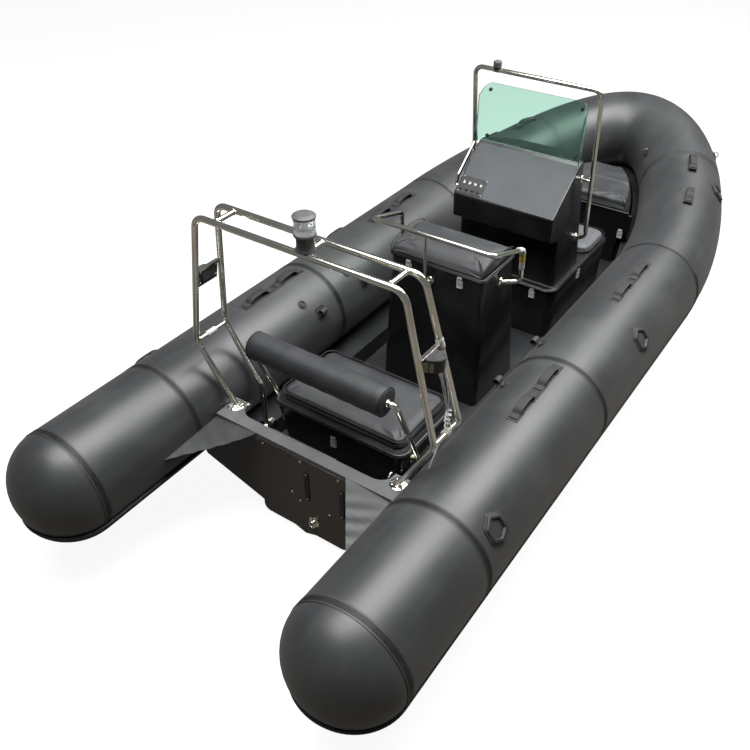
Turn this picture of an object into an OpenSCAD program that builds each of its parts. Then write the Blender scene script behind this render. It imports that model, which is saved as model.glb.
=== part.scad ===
// Rigid inflatable boat: a moulded V hull under a horseshoe of inflated tubes,
// with a lid-topped rear seat, a pilot's seat, a tilting console with a screen,
// a bow locker and a stainless lights arch over the stern.
// The frame is millimetres, X to starboard, Y to the bow, Z up.
// The origin is on the centreline, amidships, at the height of the water.

/* [Tubes] */
// Diameter of the inflated tubes
tube_d = 500; // [400:10:540]
// Distance between the axes of the two side tubes
tube_pitch = 1475; // [1440:5:1800]
// Height of the side tubes' axes above the water
tube_z = 280; // [280:5:340]
// Where the side tubes end and their stern caps begin
stern_y = -2260; // [-2800:10:-2100]
// Length of each stern cap
cap_len = 230; // [120:10:300]
// Where the tubes begin to curve in towards the bow
bow_y = 657; // [600:1:760]
// Length of the curved bow, along the centreline
bow_len = 1580; // [1500:10:1760]
// Where the tubes begin to rise towards the bow
sheer_y = 525; // [400:5:600]
// Rise of the tubes at the bow
sheer_rise = 227; // [150:1:260]
// Width of the rubbing strake
strake_w = 66; // [40:1:80]
// Thickness of the rubbing strake
strake_t = 14; // [8:1:20]

/* [Hull] */
// Draught at the keel
draught = 180; // [150:5:220]
// Half width of the hull at the chine
chine_x = 600; // [560:5:620]
// Height of the deck above the water
deck_z = -10; // [-30:1:20]
// Half width of the deck between the side shelves
deck_x = 412; // [400:1:425]
// Height of the side shelves above the water
shelf_z = 80; // [70:1:95]
// Thickness of the deck moulding
deck_t = 20; // [10:1:25]
// Aft face of the transom
transom_y = -1610; // [-1640:5:-1600]
// Thickness of the transom
transom_t = 60; // [45:1:70]
// Top of the transom
transom_z = 320; // [300:5:360]
// Half width of the transom's top edge
transom_x = 243; // [200:1:260]

/* [Arch] */
// Outside diameter of the arch pipes
arch_d = 27; // [22:1:32]
// Half the distance between the arch's feet
arch_foot_x = 447; // [440:1:470]
// Half width of the arch at its knees
arch_knee_x = 619; // [600:1:650]
// Height of the arch's knees
arch_knee_z = 635; // [600:5:700]
// Half width of the arch at its top corners
arch_top_x = 486; // [450:1:520]
// Height of the arch's top bars
arch_top_z = 1293; // [1200:1:1400]
// Position of the aft hoop's feet
arch_y = -1520; // [-1530:1:-1510]
// Distance from the aft hoop to the forward hoop at the knees
arch_gap = 186; // [160:1:200]

/* [Rear seat] */
// Aft edge of the rear seat's lid
rear_y = -1370; // [-1380:1:-1360]
// Length of the rear seat's lid, fore and aft
rear_len = 470; // [440:5:500]
// Width of the rear seat's lid
rear_w = 740; // [640:5:744]
// Height of the rear seat's lid, at its underside
rear_z = 282; // [260:1:320]
// Thickness of the rear seat's cushion
rear_pad = 52; // [30:1:70]
// Diameter of the backrest roll
roll_d = 132; // [100:1:160]
// Length of the backrest roll
roll_len = 700; // [560:10:700]
// Height of the backrest roll's axis
roll_z = 670; // [600:5:720]

/* [Pilot seat] */
// Aft face of the pilot's seat at its top
pilot_y = -535; // [-560:1:-500]
// Length of the pilot's seat lid, fore and aft
pilot_len = 330; // [300:5:360]
// Width of the pilot's seat lid
pilot_w = 536; // [450:2:560]
// Height of the pilot's seat lid, at its underside
pilot_z = 716; // [600:1:760]
// Height of the pilot's domed cushion
pilot_pad = 72; // [50:1:100]
// Outside diameter of the seat and screen rails
rail_d = 24; // [18:1:28]

/* [Console] */
// Aft face of the console locker
console_y = 225; // [215:1:240]
// Length of the console locker, fore and aft
console_len = 780; // [740:5:790]
// Width of the console locker
console_w = 640; // [600:2:660]
// Height of the joint between the locker and the tilting console
console_z = 288; // [260:1:300]
// Width of the dash
dash_w = 600; // [520:5:610]
// Height of the dash's aft edge
dash_low_z = 767; // [720:1:800]
// Height of the dash's forward edge
dash_high_z = 983; // [940:1:1020]
// Position of the dash's aft edge
dash_y = 144; // [120:1:160]
// Length of the dash, fore and aft
dash_len = 266; // [230:1:280]
// Height of the windscreen above the dash
screen_h = 318; // [250:1:340]
// Thickness of the windscreen
screen_t = 6; // [4:1:8]

/* [Bow locker] */
// Aft face of the bow locker
locker_y = 1260; // [1240:5:1300]
// Height of the bow locker's lid, at its underside
locker_z = 343; // [320:1:380]
// Thickness of the bow cushion
locker_pad = 68; // [40:1:90]

/* [Mouldings] */
// Wall of the moulded boxes
wall = 12; // [8:1:16]
// Thickness of the lids
lid_t = 18; // [12:1:24]
// Gap between soft or curved pieces that rest on each other
seat_gap = 0.3; // [0.2:0.1:0.5]
// Gap all round a piece that moves
run_gap = 6; // [5:0.5:8]

/* [Hidden] */
$fn = 64;
hull_fn = 32;
tube_r = tube_d / 2;
tube_x = tube_pitch / 2;
bow_tip = bow_y + bow_len;
bow_handle_y = 600;
bow_handle_x = 412;
sheer_power = 1.843;
bow_steps = 20;
tube_sides = 32;

// The side tube's axis bends to the bow along one cubic curve.
function bezier(a, b, c, d, u) =
    pow(1 - u, 3) * a + 3 * pow(1 - u, 2) * u * b + 3 * (1 - u) * u * u * c + u * u * u * d;
function bezier_slope(a, b, c, d, u) =
    3 * pow(1 - u, 2) * (b - a) + 6 * (1 - u) * u * (c - b) + 3 * u * u * (d - c);
function sheer(y) = y <= sheer_y ? 0
    : sheer_rise * pow((y - sheer_y) / (bow_tip - sheer_y), sheer_power);
function axis_xy(u) = bezier([tube_x, bow_y], [tube_x, bow_y + bow_handle_y],
    [bow_handle_x, bow_tip], [0, bow_tip], u);
function axis_out(u) =
    let (s = bezier_slope([tube_x, bow_y], [tube_x, bow_y + bow_handle_y],
        [bow_handle_x, bow_tip], [0, bow_tip], u))
    [s[1], -s[0]] / norm(s);
// A point beside the bow's axis: out is across it, away from the boat, and up is above it.
function beside(u, out, up) =
    let (p = axis_xy(u), n = axis_out(u))
    [p[0] + out * n[0], p[1] + out * n[1], tube_z + sheer(p[1]) + up];
function mirrored(p) = [-p[0], p[1], p[2]];
function reverse(list) = [for (i = [len(list) - 1 : -1 : 0]) list[i]];
function unit(v) = v / norm(v);
function flat(list) = [for (a = list) for (b = a) b];

// A closed skin through rings of equally many points, with flat ends.
module skin(rings, cap = []) {
    n = len(rings[0]);
    last = (len(rings) - 1) * n;
    sides = [for (i = [0 : len(rings) - 2]) for (j = [0 : n - 1])
        let (a = i * n + j, b = i * n + (j + 1) % n)
        each [[a, b, a + n], [b, b + n, a + n]]];
    ends = len(cap) == 0
        ? [[for (j = [n - 1 : -1 : 0]) j], [for (j = [0 : n - 1]) last + j]]
        : concat([for (t = cap) reverse(t)], [for (t = cap) [for (j = t) last + j]]);
    polyhedron(flat(rings), concat(sides, ends), convexity = 6);
}

// A pipe along straight runs joined by bends of one radius, swept as one skin.
pipe_sides = 16;
bend_steps = 5;

function carry(n, dirs, i = 0) =
    i == len(dirs) ? []
    : let (m = unit(n - dirs[i] * (n * dirs[i]))) concat([m], carry(m, dirs, i + 1));

module pipe(points, d, bend) {
    n = len(points);
    runs = [for (i = [0 : n - 2]) unit(points[i + 1] - points[i])];
    bends = [for (i = [1 : n - 2])
        let (along = runs[i - 1], turn = acos(along * runs[i]),
            across = unit(runs[i] - along * (along * runs[i])),
            centre = points[i] - along * bend * tan(turn / 2) + across * bend)
        for (k = [0 : bend_steps])
        let (a = turn * k / bend_steps)
        [centre + bend * (along * sin(a) - across * cos(a)), along * cos(a) + across * sin(a)]];
    path = concat([[points[0], runs[0]]], bends, [[points[n - 1], runs[n - 2]]]);
    dirs = [for (p = path) p[1]];
    start = abs(runs[0][0]) < 0.9 ? [1, 0, 0] : [0, 0, 1];
    normals = carry(start, dirs);
    skin([for (i = [0 : len(path) - 1])
        let (m = normals[i], w = cross(m, dirs[i]))
        [for (j = [0 : pipe_sides - 1])
            let (a = 360 * j / pipe_sides)
            path[i][0] + d / 2 * (m * cos(a) + w * sin(a))]]);
}

// A round rod between two points.
module rod(from, to, d) {
    v = to - from;
    translate(from)
        rotate([0, acos(v[2] / norm(v)), atan2(v[1], v[0])])
            cylinder(d = d, h = norm(v));
}

// A flat plate with round corners, centred in X, from y to y + len.
module plate(y, w, len, r, h) {
    linear_extrude(h)
        rounded(y, w, len, r);
}

module rounded(y, w, len, r) {
    translate([-w / 2 + r, y]) square([w - 2 * r, len]);
    translate([-w / 2, y + r]) square([w, len - 2 * r]);
    for (x = [-w / 2 + r, w / 2 - r], z = [y + r, y + len - r])
        translate([x, z]) circle(r = r);
}

// A moulded box that narrows towards its foot: y, length and width at the foot and at the top.
module moulding(foot, top, z0, z1, r, inset = 0) {
    hull() {
        translate([0, 0, z0])
            plate(foot[0] + inset, foot[2] - 2 * inset, foot[1] - 2 * inset, r, 1, $fn = hull_fn);
        translate([0, 0, z1 - 1])
            plate(top[0] + inset, top[2] - 2 * inset, top[1] - 2 * inset, r, 1, $fn = hull_fn);
    }
}

// ---------- tubes ----------

module side_tube(side) {
    color("dimgray")
    translate([side * tube_x, 0, tube_z]) {
        translate([0, stern_y, 0])
            rotate([-90, 0, 0])
                cylinder(r = tube_r, h = bow_y - stern_y);
        translate([0, stern_y, 0])
            rotate([90, 0, 0])
                rotate_extrude()
                    polygon(concat([[0, 0]], [for (a = [0 : 7.5 : 90])
                        [tube_r * cos(a), cap_len * sin(a)]]));
    }
}

module port_tube() side_tube(-1);

module starboard_tube() side_tube(1);

module bow_tube() {
    half = [for (i = [0 : bow_steps]) [for (j = [0 : tube_sides - 1])
        let (a = 360 * j / tube_sides)
        beside(i / bow_steps, tube_r * cos(a), tube_r * sin(a))]];
    other = [for (i = [bow_steps - 1 : -1 : 0]) [for (j = [0 : tube_sides - 1])
        let (a = 360 * j / tube_sides)
        mirrored(beside(i / bow_steps, tube_r * cos(a), tube_r * sin(a)))]];
    color("dimgray") skin(concat(half, other));
}

// The strake lies low on the outside of the tube and wraps round its stern cap.
strake_drop = 35;
strake_in = tube_r + seat_gap;
strake_out = tube_r + strake_t;
strake_y = transom_y - 20;

function strake_ring(at, n) = [
    let (c = cos(strake_drop), s = sin(strake_drop), h = strake_w / 2)
    for (k = [[strake_in, -h], [strake_out - 4, -h], [strake_out, 8 - h], [strake_out, h - 8],
        [strake_out - 4, h], [strake_in, h]])
    let (out = k[0] * c + k[1] * s, up = k[1] * c - k[0] * s)
    [at[0] + out * n[0], at[1] + out * n[1], at[2] + up]];

module rub_strake() {
    inner = strake_ring([tube_x, strake_y, tube_z], [-1, 0]);
    squeeze = cap_len / tube_r;
    round_cap = [for (a = [0 : 7.5 : 180])
        strake_ring([tube_x, stern_y, tube_z], 1.004 * [-cos(a), -sin(a) * squeeze])];
    straight = strake_ring([tube_x, bow_y - 1, tube_z], [1, 0]);
    bow = [for (i = [0 : bow_steps])
        let (u = i / bow_steps, p = axis_xy(u))
        strake_ring([p[0], p[1], tube_z + sheer(p[1])], axis_out(u))];
    color("black") skin(concat([inner], round_cap, [straight], bow));
}

module port_rub_strake() mirror([1, 0, 0]) rub_strake();

module starboard_rub_strake() rub_strake();

// ---------- hull, deck and transom ----------

keel_z = -draught;
chine_z = 15;
hull_top_x = tube_x - 97.5;
shelf_x = deck_x + 12;
deck_wall = 10;
floor_z = deck_z - deck_t;
shelf_base_z = shelf_z - deck_t;
shelf_edge = tube_x - sqrt(pow(tube_r + 0.5, 2) - pow(tube_z - shelf_z, 2));
hull_edge_z = tube_z - sqrt(pow(tube_r + 0.5, 2) - pow(tube_x - hull_top_x, 2));

// A point beside the tube's axis at a given y, found by halving the bow's curve.
function u_at(y, out, lo = 0, hi = 1, n = 18) =
    let (mid = (lo + hi) / 2)
    n == 0 ? mid
    : beside(mid, out, 0)[1] < y ? u_at(y, out, mid, hi, n - 1)
    : u_at(y, out, lo, mid, n - 1);
function at_y(y, x, z) =
    y <= bow_y ? [x, y, z]
    : beside(u_at(y, x - tube_x - bow_gap), x - tube_x - bow_gap, z - tube_z);
function at_height(p, z) = [p[0], p[1], z];
function both_sides(half) = concat(half, [for (p = reverse(half)) mirrored(p)]);

bow_gap = 3;
hull_start = transom_y + transom_t;
floor_end = locker_y + 30;
hull_end = bow_tip - tube_x + hull_top_x - 12;
hull_run = hull_end - bow_y;
floor_stations = [hull_start, bow_y, 800, 950, 1100, floor_end];
bow_stations = [for (k = [0 : 0.125 : 1]) floor_end + 20 + k * (hull_end - floor_end - 20)];

function bow_part(y) = max(0, y - bow_y) / hull_run;
function keel(y) = y <= bow_y ? keel_z
    : keel_z + (at_y(hull_end, hull_top_x, hull_edge_z)[2] - 25 - keel_z)
    * pow(bow_part(y), 4);
function hull_low(y) =
    let (edge = at_y(y, hull_top_x, hull_edge_z), t = bow_part(y),
        rise = 0.9 * (edge[2] - hull_edge_z) * (1 - t * t))
    [[edge[0] * chine_x / hull_top_x, y, edge[2] - (hull_edge_z - chine_z) * (1 - t) - 4 * t - rise],
        edge];

// One moulding with a V bottom, open under the deck and closed across under the bow.
module lower_hull() {
    open_rings = [for (y = floor_stations)
        concat([[0, y, keel(y)]], both_sides(concat(hull_low(y), [
            at_y(y, shelf_edge, shelf_base_z - (y > bow_y ? 2 : 0)),
            at_y(y, shelf_x + deck_wall + 1, shelf_base_z - (y > bow_y ? 2 : 0)),
            at_height(at_y(y, deck_x + deck_wall + 1, floor_z), floor_z)])))];
    closed_rings = [for (y = bow_stations)
        let (low = hull_low(y), edge = low[1])
        concat([[0, y, keel(y)]], both_sides(concat(low, [
            for (k = [0.85, 0.7, 0.6]) [edge[0] * k, y, edge[2]]])))];
    color("gray") skin(concat(open_rings, closed_rings),
        [[0, 1, 5], [1, 2, 3], [1, 3, 4], [1, 4, 5], [0, 5, 6],
         [0, 6, 10], [6, 7, 10], [7, 8, 10], [8, 9, 10]]);
}

// The deck is one moulding: a floor, two steps up and a shelf along each tube.
module deck() {
    color("dimgray")
        skin([for (y = floor_stations)
            let (back = at_y(y, shelf_x + deck_wall, shelf_base_z), step = at_y(y, deck_x, shelf_z),
                shelf = at_y(y, shelf_x, shelf_z), edge = at_y(y, shelf_edge, shelf_z))
            both_sides([at_height(at_y(y, deck_x + deck_wall, floor_z), floor_z),
                back, at_y(y, shelf_edge, shelf_base_z), edge, shelf,
                at_height(step, deck_z)])],
            [[0, 1, 4], [0, 4, 5], [1, 2, 3], [1, 3, 4], [0, 5, 6], [0, 6, 11],
             [10, 11, 6], [10, 6, 7], [8, 9, 10], [8, 10, 7]]);
}

// A polygon from its starboard half.
module both_halves(points) {
    polygon(concat(points, [for (p = reverse(points)) if (p[0] > 0) [-p[0], p[1]]]));
}

// The transom closes the hull from tube to tube.
module transom() {
    side = [[0, keel_z], [chine_x - 4, chine_z - 2], [615, shelf_base_z - 4],
        [540, 112], [495, 200], [487, 258], [487, transom_z], [0, transom_z]];
    color("gray")
        translate([0, transom_y + transom_t, 0])
            rotate([90, 0, 0])
                linear_extrude(transom_t)
                    both_halves(side);
}

// Two slotted plates and a towing eye on the aft face of the transom.
module transom_fittings() {
    color("silver")
    translate([0, transom_y, 0]) {
        for (x = [30, 222])
            translate([x - 12, -3, 60])
                cube([24, 3, 170]);
        translate([60, 0, -60])
            rotate([90, 0, 0]) {
                cylinder(d = 56, h = 6);
                translate([0, 0, 6]) cylinder(d = 30, h = 18);
            }
    }
}

// A moulded ledge for the arch's foot, and a cloth gusset from the transom's top to the tube.
foot_pad_t = 24;

module gusset() {
    edge = [[transom_x, transom_y - seat_gap, transom_z - 8], [486.9, transom_y - seat_gap, transom_z - 24],
        [486.9, -1945, 282]];
    color("black") {
        skin([for (z = [0, 6]) [for (p = edge) [p[0], p[1], p[2] + z]]]);
        translate([0, 0, transom_z - foot_pad_t])
            linear_extrude(foot_pad_t)
                polygon([[350, transom_y + transom_t], [388, -1540], [400, -1510], [402, -1476],
                    [487, -1476], [487, transom_y + transom_t]]);
    }
}

module port_gusset() mirror([1, 0, 0]) gusset();

module starboard_gusset() gusset();

// ---------- fittings on the tubes ----------

// Stands its children on the tube beside y, turned up by a degrees from level, with Z outwards.
module on_tube(y, a, out) {
    translate([tube_x, y, tube_z])
        rotate([0, 90 - a, 0])
            translate([0, 0, out])
                children();
}

lift_y = [-1600, -120];
lift_angle = 38;
grab_y = [-1010, -780, 90, 320];

// The lift handle is a six-sided rubber patch curved to the tube, with a hand hole.
module lift_handle(y) {
    on_tube(y, lift_angle, 0)
        intersection() {
            difference() {
                rotate([90, 0, 0])
                    cylinder(r = tube_r + 12, h = 260, center = true);
                rotate([90, 0, 0])
                    cylinder(r = tube_r + seat_gap, h = 262, center = true);
            }
            difference() {
                cylinder(d = 132, h = tube_r + 40, $fn = 6);
                translate([0, 0, 1]) cylinder(d = 74, h = tube_r + 40, $fn = 6);
            }
        }
}

module lift_handles() color("black") for (y = lift_y) lift_handle(y);

module port_lift_handles() mirror([1, 0, 0]) lift_handles();

module starboard_lift_handles() lift_handles();

// A grab strap bows up between its two ends.
module grab_strap(y) {
    translate([tube_x - 20, y, tube_z + tube_r + seat_gap])
        rotate([90, 0, 90])
            linear_extrude(40)
                polygon([[-100, 0], [-70, 0], [-50, 14], [50, 14], [70, 0], [100, 0],
                    [100, 4], [72, 4], [52, 18], [-52, 18], [-72, 4], [-100, 4]]);
}

module grab_straps() color("black") for (y = grab_y) grab_strap(y);

module port_grab_straps() mirror([1, 0, 0]) grab_straps();

module starboard_grab_straps() grab_straps();

// Inflation valves on the inside of each tube.
module tube_valves() {
    color("black")
    for (side = [0, 1], y = [-860, -480])
        mirror([side, 0, 0])
            on_tube(y, 130, tube_r + seat_gap)
                cylinder(d = 50, h = 9);
}

// Short rubber cups that hold the oars along the inside of the tubes.
module oar_holders() {
    color("black")
    for (side = [0, 1], y = [-780, -400])
        mirror([side, 0, 0])
            on_tube(y, 150, tube_r + seat_gap)
                translate([-20, -22, 0]) cube([40, 44, 26]);
}

// ---------- lights arch ----------

arch_bend = 60;
arch_rake = 24;
arch_top_gap = 124;
arch_plate = 8;
arch_foot_z = transom_z + arch_plate;

module hoop(foot, knee, top) {
    pipe([foot, knee, top, mirrored(top), mirrored(knee), mirrored(foot)], arch_d, arch_bend);
}

// The aft hoop stands on two round flanges on the ledges beside the transom.
module arch_aft_hoop() {
    color("silver") {
        hoop([arch_foot_x, arch_y, arch_foot_z],
            [arch_knee_x, arch_y - arch_rake, arch_knee_z],
            [arch_top_x, arch_y - 2 * arch_rake, arch_top_z]);
        for (side = [-1, 1])
            translate([side * arch_foot_x, arch_y, transom_z])
                cylinder(d = 76, h = arch_plate + 4);
    }
}

// The forward hoop's legs turn down beside the rear seat to the side shelves.
module arch_forward_hoop() {
    foot_y = arch_y + arch_gap - 10;
    low = [430 + arch_d / 2, foot_y, shelf_z];
    color("silver")
        pipe([low, low + [0, 0, 250],
            [arch_knee_x, arch_y - arch_rake + arch_gap, arch_knee_z],
            [arch_top_x, arch_y - 2 * arch_rake + arch_top_gap, arch_top_z],
            [-arch_top_x, arch_y - 2 * arch_rake + arch_top_gap, arch_top_z],
            [-arch_knee_x, arch_y - arch_rake + arch_gap, arch_knee_z],
            mirrored(low + [0, 0, 250]), mirrored(low)], arch_d, arch_bend);
}

module arch_crossbars() {
    y0 = arch_y - 2 * arch_rake;
    y1 = arch_y - arch_rake;
    color("silver") {
        for (x = [-385, 50, 420])
            rod([x, y0 + arch_d / 2, arch_top_z], [x, y0 + arch_top_gap - arch_d / 2, arch_top_z], 22);
        for (x = [-1, 1])
            rod([x * (arch_knee_x - 6), y1 + arch_d / 2 + 0.4, arch_knee_z],
                [x * (arch_knee_x - 6), y1 + arch_gap - arch_d / 2 - 0.8, arch_knee_z], 22);
    }
}

// The all-round light on the middle top bar: a flared foot, a clear lens and a cap.
module mast_light() {
    y0 = arch_y - 2 * arch_rake;
    color("dimgray")
    translate([50, y0 + 18, arch_top_z + arch_d / 2 + seat_gap]) {
        cylinder(d1 = 80, d2 = 68, h = 12);
        translate([0, 0, 12]) cylinder(d = 68, h = 46);
        translate([0, 0, 58]) cylinder(d = 84, h = 72);
        translate([0, 0, 130]) cylinder(d1 = 88, d2 = 70, h = 15);
    }
}

// Each side light hangs on a plate between the arch's legs.
light_z = 1012;
light_x = arch_knee_x + (arch_top_x - arch_knee_x) * (light_z - arch_knee_z)
    / (arch_top_z - arch_knee_z);
light_aft = arch_y - arch_rake - 14 + arch_d / 2;
light_len = 122;

module side_light(side) {
    translate([side * light_x, light_aft, light_z])
        mirror([side < 0 ? 1 : 0, 0, 0]) {
            translate([-8, 0, 0]) cube([16, light_len, 7]);
            translate([-2, 4, -80]) cube([4, light_len - 8, 80]);
            translate([2, 20, -62])
                linear_extrude(56)
                    polygon([[0, 0], [46, 22], [64, 62], [56, 86], [20, 100], [0, 100]]);
        }
}

module port_light() color("black") side_light(-1);

module starboard_light() color("black") side_light(1);

// The starboard light's lead hangs from its underside and turns round the crossbar below.
lead_d = 6;
lead_points = [[580, -1466, 949], [588, -1456, 900], [598, -1446, 830], [606, -1440, 760],
    [613, -1437, 700], [626, -1436, 660], [630, -1438, 634], [624, -1442, 616],
    [613, -1448, 608], [604, -1458, 604], [600, -1474, 590], [598, -1496, 560],
    [596, -1516, 530], [595, -1534, 505]];

module light_lead() {
    n = len(lead_points);
    last = n - 1;
    function at(i) = lead_points[i < 0 ? 0 : i > last ? last : i];
    path = [for (i = [0 : last - 1]) for (k = [0 : 0.25 : 0.75])
        let (a = at(i - 1), b = at(i), c = at(i + 1), d = at(i + 2))
        0.5 * (2 * b + (c - a) * k + (2 * a - 5 * b + 4 * c - d) * k * k
        + (3 * b - a - 3 * c + d) * k * k * k)];
    dirs = [for (i = [0 : len(path) - 1])
        unit(path[min(i + 1, len(path) - 1)] - path[max(i - 1, 0)])];
    normals = carry([0, 1, 0], dirs);
    color("white")
        skin([for (i = [0 : len(path) - 1])
            let (m = normals[i], w = cross(m, dirs[i]))
            [for (j = [0 : 9]) path[i] + lead_d / 2 * (m * cos(36 * j) + w * sin(36 * j))]]);
}

// A value on a box's leaning face at height z.
function lean(foot, top, z0, z1, z) = foot + (top - foot) * (z - z0) / (z1 - z0);

// ---------- rear seat ----------

rear_foot_inset = 33;
box_gap = run_gap;

module rear_seat_box() {
    color("black")
    difference() {
        moulding([rear_y + 33, rear_len - 75, rear_w - 100], [rear_y + 6, rear_len - 12, rear_w - 12],
            deck_z, rear_z, 55);
        translate([0, 0, wall])
            moulding([rear_y + 33, rear_len - 75, rear_w - 100],
                [rear_y + 6, rear_len - 12, rear_w - 12], deck_z, rear_z + wall, 45, wall);
    }
}

module rear_seat_lid() {
    color("black")
        translate([0, 0, rear_z])
            plate(rear_y, rear_w, rear_len, 60, lid_t);
}

module rear_seat_cushion() {
    color("dimgray")
        translate([0, 0, rear_z + lid_t + seat_gap])
            plate(rear_y + 30, rear_w - 56, rear_len - 70, 40, rear_pad);
}

roll_y = -1460;
roll_arm_x = 391;

// Two arms rise from the sides of the box and hold the ends of the roll.
module backrest_frame() {
    bracket_z = 236;
    y = rear_y + 96;
    half = lean(rear_w / 2 - 50, rear_w / 2 - 6, deck_z, rear_z, bracket_z) + 2 + seat_gap;
    foot = [roll_arm_x, y, bracket_z];
    bend_at = [roll_arm_x, roll_y, roll_z];
    color("silver")
        pipe([[half, y, bracket_z], foot, bend_at, mirrored(bend_at), mirrored(foot),
            [-half, y, bracket_z]], rail_d, 27);
}

module backrest_roll() {
    color("dimgray")
        difference() {
            translate([-roll_len / 2, roll_y, roll_z])
                rotate([0, 90, 0])
                    cylinder(d = roll_d, h = roll_len);
            translate([-roll_len / 2 - 1, roll_y, roll_z])
                rotate([0, 90, 0])
                    cylinder(d = rail_d + 2 * seat_gap, h = roll_len + 2);
        }
}

// ---------- pilot's seat ----------

module pilot_seat_box() {
    color("black")
    difference() {
        moulding([pilot_y - 20, 428, 570], [pilot_y + 6, pilot_len - 12, pilot_w - 12],
            deck_z, pilot_z, 30);
        translate([0, 0, wall])
            moulding([pilot_y - 20, 428, 570], [pilot_y + 6, pilot_len - 12, pilot_w - 12],
                deck_z, pilot_z + wall, 24, wall);
    }
}

module pilot_seat_lid() {
    color("black")
        translate([0, 0, pilot_z])
            plate(pilot_y, pilot_w, pilot_len, 24, lid_t);
}

// The pilot's cushion is a low dome across the seat.
module pilot_seat_cushion() {
    half = pilot_len / 2 - 6;
    r = (half * half + pilot_pad * pilot_pad) / (2 * pilot_pad);
    color("dimgray")
    translate([-pilot_w / 2 + 6, pilot_y + pilot_len / 2, pilot_z + lid_t + seat_gap])
        rotate([90, 0, 90])
            linear_extrude(pilot_w - 12)
                intersection() {
                    translate([0, pilot_pad - r]) circle(r = r);
                    translate([-half, 0]) square([2 * half, pilot_pad]);
                }
}

// A rail runs round the back and sides of the pilot's seat, with one post at the back.
module pilot_seat_rail() {
    foot_z = 640;
    half = lean(285, pilot_w / 2 - 6, deck_z, pilot_z, foot_z) + seat_gap;
    back = lean(pilot_y - 20, pilot_y + 6, deck_z, pilot_z, foot_z) - seat_gap;
    aft = [330, -582, 912];
    arm = [345, -305, 823];
    low = [345, -290, foot_z];
    foot = [half + 6.6, -345, foot_z];
    color("silver") {
        pipe([foot, low, arm, aft, mirrored(aft), mirrored(arm), mirrored(low), mirrored(foot)],
            rail_d, 30);
        pipe([[-27, aft[1], aft[2]], [-27, aft[1] + 6, foot_z], [-27, back, foot_z]], rail_d - 2, 16);
    }
}

// ---------- console ----------

module console_locker() {
    color("black")
    difference() {
        moulding([console_y - 12, console_len - 12, console_w], [console_y, console_len, console_w],
            deck_z, console_z, 60);
        translate([0, 0, wall])
            moulding([console_y - 12, console_len - 12, console_w],
                [console_y, console_len, console_w], deck_z, console_z + wall, 50, wall);
    }
}

console_lid_y = console_y - 8;
console_lid_len = console_len + 16;

function console_side() = [[262, console_z + lid_t], [250, 600], [150, 632],
    [dash_y, dash_low_z], [dash_y + dash_len, dash_high_z], [540, dash_high_z],
    [680, console_z + lid_t]];

// The console stands on the locker's lid and tilts forward with it.
module console_body() {
    front_r = 523;
    color("black") {
        translate([0, 0, console_z])
            plate(console_lid_y, console_w + 10, console_lid_len, 60, lid_t);
        intersection() {
            translate([-dash_w / 2, 0, 0])
                rotate([90, 0, 90])
                    linear_extrude(dash_w)
                        polygon(console_side());
            translate([0, 540 - front_r, dash_high_z])
                rotate([11.5, 0, 0])
                    cylinder(r = front_r, h = 1600, center = true);
        }
    }
}

module on_dash() {
    translate([0, dash_y, dash_low_z])
        rotate([atan2(dash_high_z - dash_low_z, dash_len), 0, 0])
            children();
}

module switch_panel() {
    color("black")
        on_dash() {
            translate([-dash_w / 2 + 14, 14, 0]) cube([150, 100, 4]);
            for (i = [0 : 3])
                translate([-dash_w / 2 + 34 + 34 * i, 76, 4]) cylinder(d = 12, h = 14);
            for (i = [0 : 3])
                translate([-dash_w / 2 + 34 + 34 * i, 36, 4]) cylinder(d = 20, h = 3);
        }
}

// The windscreen wraps the top of the console, with short returns down its sides.
module windscreen() {
    y0 = dash_y + dash_len - 46;
    half = dash_w / 2 + seat_gap;
    base = dash_high_z + seat_gap;
    color("seagreen", 0.5)
    difference() {
        translate([0, 0, base])
            linear_extrude(screen_h)
                difference() {
                    screen_plan(half + screen_t, y0, 60);
                    screen_plan(half, y0 - 1, 54 - screen_t);
                }
        for (side = [0, 1])
            mirror([side, 0, 0])
                translate([half - 54, y0 - 10, base + screen_h - 60])
                    difference() {
                        cube([100, 100, 100]);
                        translate([0, -1, 0])
                            rotate([-90, 0, 0])
                                cylinder(r = 60, h = 102);
                    }
    }
}

module screen_plan(half, y0, len) {
    r = 40;
    translate([-half, y0]) square([2 * half, len - r]);
    translate([-half + r, y0]) square([2 * half - 2 * r, len]);
    for (x = [-half + r, half - r])
        translate([x, y0 + len - r]) circle(r = r);
}

module windscreen_rail() {
    top = [354, 405, 1375];
    low = [354, 500, 520];
    foot = [dash_w / 2, 500, 520];
    color("silver") {
        pipe([foot, low, top, mirrored(top), mirrored(low), mirrored(foot)], rail_d, 45);
        for (side = [-1, 1])
            rod([side * dash_w / 2, 460, 880], [side * 354, 460, 880], 16);
    }
}

module screen_lamp() {
    color("gray")
        translate([-227, 405, 1375 + rail_d / 2 + seat_gap])
            cylinder(d = 44, h = 34);
}

module console_seat_cushion() {
    color("lightgray")
        translate([0, 0, console_z + lid_t + seat_gap])
            plate(700, 630, 300, 60, 46);
}

// ---------- bow locker ----------

// Outlines follow the inside of the tubes, in from the tube's axis, from y0 to y1.
locker_end = 1790;

module bow_plan(out, y0, y1) {
    steps = 8;
    half = [for (k = [0 : steps]) let (y = y0 + (y1 - y0) * k / steps)
        [beside(u_at(y, out), out, 0)[0], y]];
    polygon(concat(half, reverse([for (p = half) [-p[0], p[1]]])));
}

locker_floor = hull_edge_z + 186.752;
locker_in = tube_r + wall + 12;
lid_in = tube_r + 48;
pad_in = tube_r + 68;

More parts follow.
